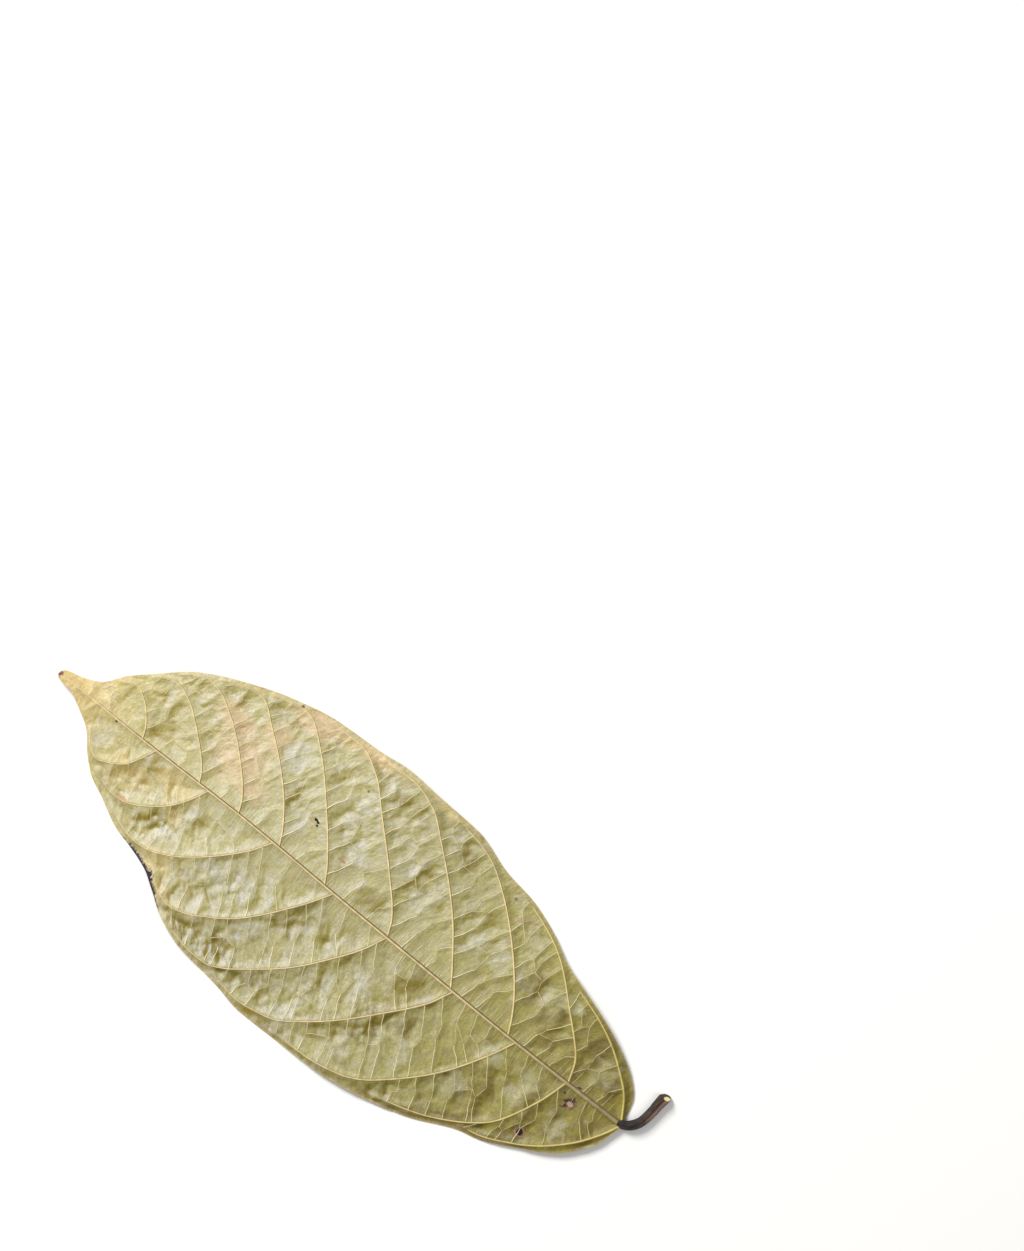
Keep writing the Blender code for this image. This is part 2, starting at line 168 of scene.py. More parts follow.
# %% [markdown]
# ## Helpers for whole arrays
#
# A leaf's surface has tens of thousands of points, and a Python loop over them would crawl.
# numpy works on all of them in one step, so each helper takes and returns arrays. Distance
# to a vein is the measure that everything else hangs on: it drives the sag, the fillets and
# the colour. Gradient noise stands for what growth and drying did by chance, and its random
# slopes are seeded, so each run gives the same leaf.

# %% Distance to a line, noise and even steps
# The noise repeats after this many whole numbers
NOISE_LATTICE = 64


def gap_to(points, line, reach):
    """Each point's distance to a line of short straight pieces, or the reach if that is
    less: the nearest place on a piece is the point's shadow on it, held to its two ends."""
    near = ((points > line.min(axis=0) - reach) & (points < line.max(axis=0) + reach)).all(axis=1)
    way = np.diff(line, axis=0)
    offset = points[near][:, None] - line[:-1]
    part = np.clip((offset * way).sum(-1) / (way * way).sum(-1), 0, 1)
    gap = np.full(len(points), float(reach))
    gap[near] = np.minimum(reach, np.linalg.norm(offset - part[..., None] * way, axis=-1).min(axis=1))
    return gap


def beside(gap, reach):
    """One on a line and less and less beside it: e to minus the square of gap over reach."""
    return np.exp(-((gap / reach) ** 2))


def noise(x, y, seed):
    """Gradient noise: each whole-number corner has a random slope, and the four slopes
    around a point are blended with the weight 6 t^5 - 15 t^4 + 10 t^3."""
    turn = np.random.default_rng(seed).uniform(0, 2 * np.pi, (NOISE_LATTICE, NOISE_LATTICE))
    total = np.zeros(np.broadcast(x, y).shape)
    for step_x in (0, 1):
        for step_y in (0, 1):
            corner_x, corner_y = np.floor(x) + step_x, np.floor(y) + step_y
            angle = turn[corner_x.astype(int) % NOISE_LATTICE, corner_y.astype(int) % NOISE_LATTICE]
            way_x, way_y = x - corner_x, y - corner_y
            near_x, near_y = 1 - np.abs(way_x), 1 - np.abs(way_y)
            weight = (near_x * near_y) ** 3
            weight *= (6 * near_x ** 2 - 15 * near_x + 10) * (6 * near_y ** 2 - 15 * near_y + 10)
            total += weight * (np.cos(angle) * way_x + np.sin(angle) * way_y)
    return total


def travelled(line):
    """The distance from a line's start to each of its points: the running sum of its steps."""
    return np.r_[0, np.cumsum(np.linalg.norm(np.diff(line, axis=0), axis=1))]


def along_line(line, columns, d):
    """The columns of a table read at the distances d along its line."""
    run = travelled(line)
    return np.stack([np.interp(d, run, column) for column in columns.T], axis=-1)


def even_line(line, count):
    """The same line with that many points, evenly spaced along its length."""
    return along_line(line, line, np.linspace(0, travelled(line)[-1], count))


print("midrib, mm along it:", travelled(midrib_line)[-1].round(2))

# %% [markdown]
# ## The net of small veins
#
# Between two side veins a cocoa leaf has small veins like the rungs of a ladder. Most cross
# the field with one kink, some fork halfway and close a mesh with their neighbours. Drawing
# them one by one would never join up, so each field gets its own map: d is the distance out
# from the corner at the midrib, the same along both borders, and q runs across from the
# outer vein to the inner one. The map's cross lines are cubics that leave both borders at a
# right angle, as real rungs do; only the junctions are placed on them, and straight legs
# join the junctions.

# %% Map one field between two side veins
# The last field ends here on the midrib, and a field's borders have a point at each step
LAST_NET = 196.0
FIELD_STEP = 0.5
# Where the borders face each other less than this or come closer, a field has no rungs
SQUARENESS = 0.35
LEAST_WIDTH = 2.5
# Neighbours that a border's direction is averaged over
SMOOTHING = 17
# Nothing is divided by less than this
TINY = 1e-6


def square_to(line, turn):
    """Unit ways square to a line, averaged over their neighbours so that they turn gently."""
    way = np.gradient(line, axis=0)
    square = turn * np.stack([way[:, 1], -way[:, 0]], axis=1)
    square = np.pad(square, ((SMOOTHING // 2,) * 2, (0, 0)), mode="edge")
    square = np.stack([np.convolve(column, np.ones(SMOOTHING), "valid") for column in square.T], axis=1)
    return square / np.linalg.norm(square, axis=1)[:, None]


def field_map(side, outer_knots, inner_knots):
    """Gives place(d, q): the cubic curve whose ends are the outer vein at d and the inner
    border at d, and whose handles stand square to them, a third of the width long."""
    outer = side_vein(side, outer_knots)
    rib_s = np.linspace(outer_knots[0][0], inner_knots[0][0] if inner_knots else LAST_NET, VEIN_POINTS)
    inner = np.stack([rib_s, midrib_at(rib_s)], axis=1)
    if inner_knots:
        inner = np.concatenate([inner, side_vein(side, inner_knots)[1:]])
    d = np.arange(0, min(travelled(outer)[-1], travelled(inner)[-1]), FIELD_STEP)
    outer, inner = along_line(outer, outer, d), along_line(inner, inner, d)
    out_way, in_way = square_to(outer, side), square_to(inner, -side)
    width = np.linalg.norm(inner - outer, axis=1)
    columns = np.column_stack([outer, inner, out_way, in_way, width])

    def place(at_d, q):
        at = [np.interp(at_d, d, column) for column in columns.T]
        start, end, start_way, end_way = (np.array(at[k:k + 2]) for k in (0, 2, 4, 6))
        reach = at[8] / 3
        line = (1 - q) ** 3 * start + 3 * q * (1 - q) ** 2 * (start + start_way * reach)
        return line + 3 * q * q * (1 - q) * (end + end_way * reach) + q ** 3 * end

    facing = ((inner - outer) * out_way).sum(axis=1) / np.maximum(width, TINY)
    good = d[(facing > SQUARENESS) & (width > LEAST_WIDTH)]
    return place, d, width, good


first_width = field_map(1, RIGHT_VEINS[0], RIGHT_VEINS[1])[2]
print("first field on the right, widest mm:", first_width.max().round(1))

# %% Sizes of the net
# Where a small vein leaves the midrib, on each half
RIB_FEET = {
    1: (10, 15, 27, 31.5, 36.5, 54, 59, 72, 81, 94, 103, 120, 135, 148, 163, 170),
    -1: (9, 12.5, 28.5, 33.5, 47, 52, 56.5, 75, 79.5, 92, 100, 112, 121, 138, 145, 160, 164, 178),
}
# Small veins beside the tip, each as its root and end
TIP_VEINS = (
    ((188, 0), (191, 5.5)), ((195.3, 0), (196, 2.4)), ((192, 0), (194, -4.5)), ((199, 0), (200, -1.6)),
)
# No foot is nearer than this to the roots of the field's two side veins
FOOT_CLEAR = (2, 1)
# Past the feet: mean distance from rung to rung, the first one's share of it and the spread
RUNG_PITCH = 5.2
FIRST_RUNG = 0.6
RUNG_SPREAD = (0.7, 1.3)
# A field narrower than this has whole rungs. In a wider one each rung meets its partner at
# two nodes, at these shares of the way across, and the outer node stands up or down by a
# share of the pitch
NARROW_FIELD = 7.0
INNER_NODE = (0.5, 0.66)
OUTER_NODE = (0.32, 0.46)
NODE_SHIFT = (-0.15, 0.6)
# A large shift forks the rung, some of the others are linked to the next, and no link
# bridges more than this many pitches
FORK_SHIFT = 0.3
MESH_SHARE = 0.35
MESH_REACH = 1.5
print("feet on the midrib:", *(len(feet) for feet in RIB_FEET.values()))

# %% Lay the rungs and meshes out in every field
# Noise that bends the small veins: size, push and seed
NET_WOBBLE = (3.0, 0.5, 51)
# Points of a whole rung, half a rung, a link and a vein beside the tip
WHOLE_LEG, HALF_LEG, LINK_LEG, TIP_LEG = 12, 10, 4, 8
NET_SEED = 4
rng = np.random.default_rng(NET_SEED)


def leg(start, end, count):
    """A straight run of points between two places, bent a little by noise."""
    line = start + (end - start) * np.linspace(0, 1, count)[:, None]
    size, push, seed = NET_WOBBLE
    s, v = line.T / size
    return line + push * np.stack([noise(s, v, seed), noise(s, v, seed + 1)], axis=-1)


def field_net(side, outer_knots, inner_knots):
    """Rungs from both borders to their nodes, and the links that join the nodes."""
    place, d, width, good = field_map(side, outer_knots, inner_knots)
    root, next_root = outer_knots[0][0], inner_knots[0][0] if inner_knots else LAST_NET
    feet = [s - root for s in RIB_FEET[side] if root + FOOT_CLEAR[0] < s < next_root - FOOT_CLEAR[1]]
    at = max([next_root - root] + feet) + FIRST_RUNG * RUNG_PITCH
    while at < good[-1]:
        feet.append(at)
        at += RUNG_PITCH * rng.uniform(*RUNG_SPREAD)
    rungs, links, nodes = [], [], []
    for foot in [foot for foot in feet if good[0] < foot < good[-1]]:
        if np.interp(foot, d, width) < NARROW_FIELD:
            rungs.append(leg(place(foot, 1), place(foot, 0), WHOLE_LEG))
            continue
        inner = place(foot, rng.uniform(*INNER_NODE))
        shift = rng.uniform(*NODE_SHIFT)
        outer_foot = min(foot + shift * RUNG_PITCH, d[-1])
        outer = place(outer_foot, rng.uniform(*OUTER_NODE))
        rungs += [leg(place(foot, 1), inner, HALF_LEG), leg(place(outer_foot, 0), outer, HALF_LEG)]
        links.append(leg(inner, outer, LINK_LEG))
        nodes.append((foot, shift, inner, outer))
    for (foot, shift, inner, outer), (next_foot, _, next_inner, _) in zip(nodes, nodes[1:]):
        if next_foot - foot > MESH_REACH * RUNG_PITCH:
            continue
        if shift > FORK_SHIFT:
            links.append(leg(outer, next_inner, LINK_LEG))
        elif rng.uniform() < MESH_SHARE:
            links.append(leg(inner, next_inner, LINK_LEG))
    return rungs, links


rungs = [leg(np.array(root, float), np.array(end, float), TIP_LEG) for root, end in TIP_VEINS]
links = []
for side, veins in ((1, RIGHT_VEINS), (-1, LEFT_VEINS)):
    for outer_knots, inner_knots in zip(veins, veins[1:] + (None,)):
        found, joined = field_net(side, outer_knots, inner_knots)
        rungs += found
        links += joined
print("small veins:", len(rungs), "rungs and", len(links), "links")

# %% Fine ribs that leave the midrib side by side
# Least and most from rib to rib, where on the midrib they stand, and how long they are
COMB_PITCH = (1.7, 3.1)
COMB_FROM_TO = (4.0, 150.0)
COMB_LENGTH = (2.5, 7.5)
# How far a rib leans back for each mm out, and what it keeps clear of other veins
COMB_LEAN = 0.12
COMB_CLEAR = 0.9
COMB_POINTS = 5


def comb(side):
    """Short straight ribs that lean back to the base and stop before they meet a side vein."""
    lines, s = [], COMB_FROM_TO[0]
    veins = RIGHT_VEINS if side > 0 else LEFT_VEINS
    while s < COMB_FROM_TO[1]:
        s += rng.uniform(*COMB_PITCH)
        room = min(float(vein_offset(side, k, s)) for k in veins if k[0][0] < s) - COMB_CLEAR
        length = min(rng.uniform(*COMB_LENGTH), room)
        if length > COMB_LENGTH[0] and min(abs(s - foot) for foot in RIB_FEET[side]) > COMB_CLEAR:
            out = np.linspace(0, length, COMB_POINTS)
            lines.append(np.stack([s - COMB_LEAN * out, midrib_at(s) + side * out], axis=1))
    return lines


fine_ribs = comb(1) + comb(-1)
print("fine ribs beside the midrib:", len(fine_ribs))

# %% [markdown]
# ## The blade
#
# The real blade is a sheet about 0.3 mm thick. Its long form is the CAD leaf's: an arch over
# the midrib, waves at the edges and a sag between veins. A Solidify modifier could give the
# thickness, but the sheet must touch the surface where the CAD leaf does, so both faces are
# worked out: one height for the lower face, and the same height plus the thickness above.

# %% The grid of the blade
ROWS, COLUMNS = 441, 181
OUTLINE_STEPS = 2000
# Past these distances in mm a side vein or a rung no longer shapes the sheet
SAG_SIGHT = 14.0
RUNG_SIGHT = 3.2


def blade_grid(rows, columns):
    """Points (s, v) in rows whose steps are even along the edge, so that they are close
    together where the outline opens fast, and columns that share each width evenly."""
    fine = np.linspace(0, BLADE_LENGTH, OUTLINE_STEPS)
    width = edge_at(1, fine) + edge_at(-1, fine)
    run = np.r_[0, np.cumsum(np.hypot(np.diff(fine), 0.5 * np.diff(width)))]
    s = np.interp(np.linspace(0, run[-1], rows), run, fine)[:, None]
    u = np.linspace(-1, 1, columns)[None]
    middle = midrib_at(s)
    v = middle + np.where(u < 0, (edge_at(-1, s) + middle) * u, (edge_at(1, s) - middle) * u)
    return s + 0 * v, v


def edge_gap(s, v):
    """Distance to the edge: the gap across the leaf times the cosine of the edge's slope."""
    gaps = []
    for side in (1, -1):
        slope = edge_at(side, s + 0.5) - edge_at(side, s - 0.5)
        gaps.append((edge_at(side, s) - side * v) / np.sqrt(1 + slope ** 2))
    return np.maximum(np.minimum(*gaps), 0)


grid_s, grid_v = blade_grid(ROWS, COLUMNS)
flat = np.stack([grid_s.ravel(), grid_v.ravel()], axis=1)
rib_gap = gap_to(flat, midrib_line, SAG_SIGHT)
side_gaps = np.array([gap_to(flat, line, SAG_SIGHT) for line in side_lines])
vein_gap = np.minimum(rib_gap, side_gaps.min(axis=0))
flat_s, flat_v = flat.T
# Distance to the nearest side vein that a place lies outside of, and inside of
beyond = np.array([side * flat_v > vein_offset(side, knots, flat_s) for side, knots in sided_veins])
outer_gap = np.where(beyond, side_gaps, SAG_SIGHT).min(axis=0)
inner_gap = np.where(beyond, SAG_SIGHT, side_gaps).min(axis=0)
border_gap = edge_gap(flat_s, flat_v)
rung_gap = np.full(len(flat), RUNG_SIGHT)
for line in rungs + links:
    rung_gap = np.minimum(rung_gap, gap_to(flat, line, RUNG_SIGHT))
print("grid points:", len(flat), "furthest from a vein, mm:", vein_gap.max().round(1))

# %% Long form of the sheet
BASE_LIFT = 0.5
# The arch is a piece of a sine wave, from and to these shares of half a wave
ARCH_RISE = 4.1
ARCH_SPAN = (0.06, 0.96)
ARCH_SHAPE = 2.2
# Depth of the sag along the leaf, how far from a vein it is nearly full, and its shape
SAG_DEPTH = ((0, 70, 100), (0.5, 0.65, 1.2))
SAG_REACH = 5.5
SAG_SHAPE = 1.5
EDGE_STIFFNESS = 0.8
# Waves of the edges: mean height, depth, length and the place of a crest
RIGHT_WAVE = (0.55, 1.3, 74.0, 100.0)
LEFT_WAVE = (0.3, 1.1, 66.0, 6.0)
WAVE_SHAPE = 1.5


def long_form(s, v, gap):
    """Arch over the midrib, waves at the edges, and a sag that deepens away from veins."""
    right = v > midrib_at(s)
    out = np.abs(v) / np.where(right, edge_at(1, s), edge_at(-1, s))
    span = np.interp(s, (0, BLADE_LENGTH), ARCH_SPAN)
    arch = ARCH_RISE * np.sin(np.pi * span) * (1 - out ** ARCH_SHAPE)
    waves = [
        mean + depth * np.cos(2 * np.pi * (s - peak) / length)
        for mean, depth, length, peak in (RIGHT_WAVE, LEFT_WAVE)
    ]
    wave = np.where(right, *waves) * out ** WAVE_SHAPE
    sag = np.interp(s, *SAG_DEPTH) * (1 - np.exp(-((gap / SAG_REACH) ** SAG_SHAPE)))
    return BASE_LIFT + arch + wave - sag


open_gap = np.minimum(vein_gap, border_gap + EDGE_STIFFNESS)
form = long_form(flat_s, flat_v, open_gap)
print("long form, mm:", form.min().round(2), "to", form.max().round(2))

# %% [markdown]
# ## Buckles of the dry tissue
#
# Tissue that shrinks between stiff veins buckles. It falls to a trough beside each vein,
# quilts between rungs, leans in facets that catch the light or turn from it, and swells into
# small pillows that meet in sharp valleys. Cloth simulation could buckle a sheet, but not
# where this leaf did, so facets are placed one by one and only pillows are scattered.

# %% Facets that lean away from the light or to it
# Each is a soft ellipse: middle s and v, half its length along s, half across v, and a turn
AWAY = (
    (6, 6, 5, 4, 30), (19, 14, 5, 4, 0), (22, 6, 2, 6, 0), (33, 6, 5, 4, 0), (33, 12, 4, 3, 0),
    (45, 16, 4, 5, 0), (23, -15, 4, 10, -15), (7, -9, 4, 3, 0), (22, -25, 9, 2, -15), (37, -16, 3, 8, -30),
    (35, -26, 5, 2, -40), (47, -33, 9, 2, -20), (66, -18, 2.5, 6, 0), (66, 23, 4, 3, 0), (71, 19, 2, 4, 0),
    (81, 32, 5, 3, 0), (89, 19, 3, 7, 35), (95, 5, 6, 3, 0), (105, 33, 7, 2.5, 0), (124, 28, 3, 5, 30),
    (132, 15, 2, 6, 10), (71, -6, 7, 4, 0), (74, -22, 6, 6, 0), (87, -31, 4, 9, -35), (104, -33, 2, 6, 0),
    (113, -15, 4, 3, 0), (123, -33, 6, 4, -30), (138, -25, 4, 6, -20), (147, -9, 6, 3, -30),
    (160, -16, 3, 5, -20), (164, -3, 7, 2, 0), (175, -10, 3, 4, 20), (180, 15, 2, 4, 10), (188, 8, 2, 3, 0),
    (173, 5, 6, 3, 0), (167.5, 19.5, 2, 3, 10), (159.5, 26.5, 2, 3, 0), (174, 11, 2.5, 3, 20),
)
TOWARDS = (
    (13, 7, 4, 3.5, 0), (29, -11, 5, 5, -20), (14, -13, 3, 4, 0), (47, 14, 3, 3, 0), (57, 15, 5, 4, 0),
    (53, 25, 4, 3, 0), (65, 14, 3, 4, 0), (46, -20, 4, 5, -20), (62, -24, 3, 5, 0), (84, 14, 4, 3, 0),
    (94, 21, 4, 3, 0), (106, 13, 4, 4, 0), (113, 23, 4, 5, 0), (125, 11, 3, 6, 0), (83, -16, 3, 6, 0),
    (77, -33, 4, 4, 0), (95, -35, 4, 4, -30), (102, -23, 3, 3, 0), (119, -23, 5, 3, -20), (126, -15, 5, 4, 0),
    (136, -15, 4, 4, 0), (134, -26, 3, 5, -20), (154, -18, 4, 3, 0), (170, -16, 4, 2, 0), (185, -6, 4, 4, 0),
    (177, 17, 3, 3, 0), (191, 4, 3, 3, 0), (138, 23, 5, 5, 0), (88, -26, 3, 5, -30), (30, -4, 4, 2.5, 0),
    (42, -7, 6, 3, 0), (38, 15, 4, 3, 0), (31, 19, 4, 2.5, 30),
)
# The light comes from this way (s, v), and a facet climbs by this slope
LIGHT_WAY = (0.96, 0.28)
FACET_SLOPE = 0.12
# Noise that tears the borders of the patches: size, push and seed of each step
TORN = ((6.0, 3.0, 33), (2.2, 1.3, 35))


def ragged(s, v, pushes):
    """The same places pushed about by noise, once for each (size, push, seed)."""
    torn_s, torn_v = s, v
    for size, push, seed in pushes:
        torn_s = torn_s + push * noise(s / size, v / size, seed)
        torn_v = torn_v + push * noise(s / size, v / size, seed + 1)
    return torn_s, torn_v


def patch(s, v, place):
    """One inside a soft-edged ellipse: e to the minus fourth power of the distance."""
    middle_s, middle_v, half_s, half_v, turn = place
    away_s, away_v, turn = s - middle_s, v - middle_v, np.radians(turn)
    along = (away_s * np.cos(turn) + away_v * np.sin(turn)) / half_s
    across = (away_v * np.cos(turn) - away_s * np.sin(turn)) / half_v
    return np.exp(-((along ** 2 + across ** 2) ** 2))


def facets(s, v, places, slope):
    """Inside each patch the sheet climbs steadily towards the light by the slope."""
    total = np.zeros_like(s)
    for place in places:
        climb = (s - place[0]) * LIGHT_WAY[0] + (v - place[1]) * LIGHT_WAY[1]
        total += slope * climb * patch(s, v, place)
    return total


torn_s, torn_v = ragged(flat_s, flat_v, TORN)
leaning = facets(torn_s, torn_v, AWAY, FACET_SLOPE) + facets(torn_s, torn_v, TOWARDS, -FACET_SLOPE)
print("facets lift, mm:", leaning.min().round(2), "to", leaning.max().round(2))

# %% Trough beside each vein, and quilt between rungs
# Trough: depth, reach, and the noise that makes the reach uneven, its size, push and seed
TROUGH = (0.42, 3.4, 3.4, 4.0, 61)
TROUGH_RETURN = 0.9
INNER_TROUGH = 0.4
# Quilt: depth, and the distance from a rung where it is mostly down
QUILT = (0.2, 1.9)


def trough(s, v, gap):
    """Straight down to a ragged valley beside the vein, then back up by e to minus the
    distance beyond it: minus the depth times the lesser of the two."""
    depth, reach, size, push, seed = TROUGH
    far = gap / (reach + push * noise(s / size, v / size, seed))
    return -depth * np.minimum(far, np.exp(TROUGH_RETURN * (1 - np.maximum(far, 1))))


troughs = trough(flat_s, flat_v, outer_gap) + INNER_TROUGH * trough(flat_s, flat_v, inner_gap)
quilt = -QUILT[0] * (1 - beside(rung_gap, QUILT[1]))
print("deepest trough and quilt, mm:", troughs.min().round(2), quilt.min().round(2))

# %% Pillows
# The rungs lean back by this much for each mm out, once this far from the midrib
RUNG_LEAN = 0.45
LEAN_START = 5.0
# Each set: size across the rungs, size along them, slope of their sides and seed
PILLOWS = ((7.0, 10.0, 0.15, 11), (3.6, 5.0, 0.25, 12), (1.9, 2.5, 0.1, 13))
PILLOW_BEND = ((9.0, 4.0, 21), (3.0, 1.8, 23), (1.3, 0.6, 25))
# Mean squared distance to the nearest spot, taken off so that the pillows stay level
PILLOW_LEVEL = 0.15


def rung_way(s, v):
    """Places turned to the way of the rungs: w stays the same along a rung, t runs along it."""
    out = v - midrib_at(s)
    return s + RUNG_LEAN * (np.hypot(out, LEAN_START) - LEAN_START), out


def nearest_spot(x, y, seed):
    """The way to the nearest of scattered spots, one in each whole-number square."""
    spots = np.random.default_rng(seed).uniform(0, 1, (NOISE_LATTICE, NOISE_LATTICE, 2))
    best_x, best_y = np.full_like(x, np.inf), np.full_like(y, np.inf)
    for step_x in (-1, 0, 1):
        for step_y in (-1, 0, 1):
            corner_x, corner_y = np.floor(x) + step_x, np.floor(y) + step_y
            spot = spots[corner_x.astype(int) % NOISE_LATTICE, corner_y.astype(int) % NOISE_LATTICE]
            way_x, way_y = corner_x + spot[..., 0] - x, corner_y + spot[..., 1] - y
            nearer = np.hypot(way_x, way_y) < np.hypot(best_x, best_y)
            best_x, best_y = np.where(nearer, way_x, best_x), np.where(nearer, way_y, best_y)
    return best_x, best_y


def pillows(s, v):
    """Each set is scattered domes that meet in sharp valleys, minus the squared distance to
    the nearest spot. Gives the height, how low in its pillow each place is, and the way to
    the top of the middle-sized one."""
    w, t = ragged(*rung_way(s, v), PILLOW_BEND)
    total, low, tops = np.zeros_like(s), np.zeros_like(s), []
    for across, along, slope, seed in PILLOWS:
        way_w, way_t = nearest_spot(w / across, t / along, seed)
        square = way_w ** 2 + way_t ** 2
        total -= slope * across * (square - PILLOW_LEVEL)
        low += slope * square
        tops.append((way_w * across, way_t * along))
    return total, low / sum(slope for _, _, slope, _ in PILLOWS), tops[1]


folds, pillow_low, (top_s, top_v) = pillows(flat_s, flat_v)
print("pillows before they are calmed, mm:", folds.min().round(2), "to", folds.max().round(2))

# %% How much of the relief is left
# On the midrib and how far that reaches, along the leaf, by how much less on the right half
# and between which v and s, and by patches of size, mean, depth and seed
CALM_RIB = (0.2, 9.0)
CALM_ALONG = ((0, 30, 50, 75, 95, 125, 150, 206), (0.2, 0.2, 0.35, 0.6, 0.75, 0.8, 0.65, 0.65))
CALM_RIGHT = 0.4
RIGHT_FADE = ((0, 10), (-40, 80))
CALM_PATCH = (15.0, 0.9, 1.5, 41)
CALM_RANGE = (0.3, 1.5)
# Beside a vein the sheet is held flat, this far
CALM_VEIN = 1.1


def calmness(s, v):
    """How much of the relief is left: little beside the midrib and in the base third."""
    size, mean, depth, seed = CALM_PATCH
    calm = np.clip(mean + depth * noise(s / size, v / size, seed), *CALM_RANGE) * np.interp(s, *CALM_ALONG)
    right = np.interp(v, RIGHT_FADE[0], (0, 1)) * np.interp(s, RIGHT_FADE[1], (0, 1))
    on_rib = beside(v - midrib_at(s), CALM_RIB[1])
    return calm * (1 - CALM_RIGHT * right) * (1 - (1 - CALM_RIB[0]) * on_rib)


calm = calmness(flat_s, flat_v)
valleys = troughs * calm
relief = (leaning + folds * calm + quilt) * (1 - beside(open_gap, CALM_VEIN)) + valleys
print("relief, mm:", relief.min().round(2), "to", relief.max().round(2))

# %% Both faces of the sheet
SHEET_THICK = 0.32
# The sheet climbs to a vein and to a rung by this much, from this far, but not at the edge
VEIN_FILLET = (0.22, 0.9)
RUNG_FILLET = (0.2, 0.65)
RUNG_EDGE_FADE = 2.0
below = np.maximum(form + relief, 0)
climb = VEIN_FILLET[0] * beside(vein_gap, VEIN_FILLET[1])
rung_climb = RUNG_FILLET[0] * beside(rung_gap, RUNG_FILLET[1])
climb += rung_climb * np.clip(border_gap / RUNG_EDGE_FADE, 0, 1)
above = below + SHEET_THICK + climb
print("upper face, mm:", above.min().round(2), "to", above.max().round(2))

# %% [markdown]
# ## Finishes
#
# Colours are written as sRGB hex values, the way a paint card gives them, and one function
# turns them to the linear numbers that a shader adds and multiplies. Patterns read Object
# coordinates turned to millimetres, so that every scale below is a real size. A flat
# picture wrapped on the leaf would be quicker, but it blurs close up and keeps one light.

# %% Colour and node helpers
# What a mix of two colours gives; its amount is input 0 and its colours are inputs 6 and 7
COLOUR = {"out": 2, "data_type": "RGBA"}
TINT = {**COLOUR, "blend_type": "MULTIPLY"}


def linear(code):
    """sRGB to linear: below 0.04045 divide by 12.92, above it ((c + 0.055) / 1.055)^2.4."""
    parts = [int(code[k:k + 2], 16) / 255 for k in (1, 3, 5)]
    return (*(c / 12.92 if c <= 0.04045 else ((c + 0.055) / 1.055) ** 2.4 for c in parts), 1)


def add(tree, kind, inputs=None, out=0, **settings):
    """Adds a node with its settings and gives one output; each input is a value or an output."""
    made = tree.nodes.new("ShaderNode" + kind)
    for name, value in settings.items():
        setattr(made, name, value)
    for name, value in (inputs or {}).items():
        if isinstance(value, bpy.types.NodeSocket):
            tree.links.new(value, made.inputs[name])
        else:
            made.inputs[name].default_value = value
    return made.outputs[out] if made.outputs else made


def new_finish(name, **constants):
    """A material with its own Principled shader, whose constant values sit on its sockets."""
    finish = bpy.data.materials.new(name)
    finish.use_nodes = True
    tree = finish.node_tree
    tree.nodes.clear()
    shader = add(tree, "BsdfPrincipled", {k.replace("_", " "): v for k, v in constants.items()})
    add(tree, "OutputMaterial", {"Surface": shader})
    return finish, tree, shader.node


def place_in_mm(tree):
    """Object coordinates in millimetres."""
    place = add(tree, "TexCoord", out="Object")
    return add(tree, "VectorMath", {0: place, "Scale": 1 / MM}, operation="SCALE")


def drawn_noise(tree, place, sizes):
    """Noise drawn out so that its features have the two sizes in mm."""
    per_mm = (1 / sizes[0], 1 / sizes[1], 1.0)
    drawn = add(tree, "VectorMath", {0: place, 1: per_mm}, operation="MULTIPLY")
    return add(tree, "TexNoise", {"Vector": drawn, "Scale": 1.0, "Detail": 3.0, "Distortion": 0.3})


print("example of a linear colour:", [round(c, 3) for c in linear("#a39b62")])

# %% [markdown]
# ## The dried lamina
#
# Air-dried leaf tissue keeps some of its green: olive near the base, sage in the middle and
# straw at the edges and the tip, with a faint waxy shine on the folds. Its marks differ in
# size and border, so no single noise could stand for them all. Each is a layer of its own
# over the last one: age first, then painted light and shade from the folds, and what chance
# did, then grain and spots.

# %% Colour by age
# Places along the leaf in mm, and the colour there
LAMINA_COLOURS = (
    (0, "#857a0e"), (30, "#8b811a"), (65, "#9e954c"), (110, "#a59c62"), (150, "#b1a871"),
    (180, "#b6aa6b"), (206, "#c4b074"),
)
# The slow noise has this size, and moves a colour by up to this share of the leaf
DRIFT_MM, DRIFT_SHARE = 18.0, 0.24


def colour_by_age(tree, place, along):
    """The main colour along the leaf, its borders pushed about by slow noise."""
    drift = add(tree, "TexNoise", {"Vector": place, "Scale": 1 / DRIFT_MM, "Detail": 4.0})
    start = S_SHIFT / BLADE_LENGTH - DRIFT_SHARE / 2
    share = add(tree, "Math", {0: along, 1: 1 / BLADE_LENGTH, 2: start}, operation="MULTIPLY_ADD")
    share = add(tree, "Math", {0: drift, 1: DRIFT_SHARE, 2: share}, operation="MULTIPLY_ADD")
    colour = add(tree, "ValToRGB", {"Fac": share})
    stops = colour.node.color_ramp.elements
    stops[0].color = linear(LAMINA_COLOURS[0][1])
    stops[1].color = linear(LAMINA_COLOURS[-1][1])
    for s, code in LAMINA_COLOURS[1:-1]:
        stops.new(s / BLADE_LENGTH).color = linear(code)
    return colour


print("colours from base to tip:", len(LAMINA_COLOURS))
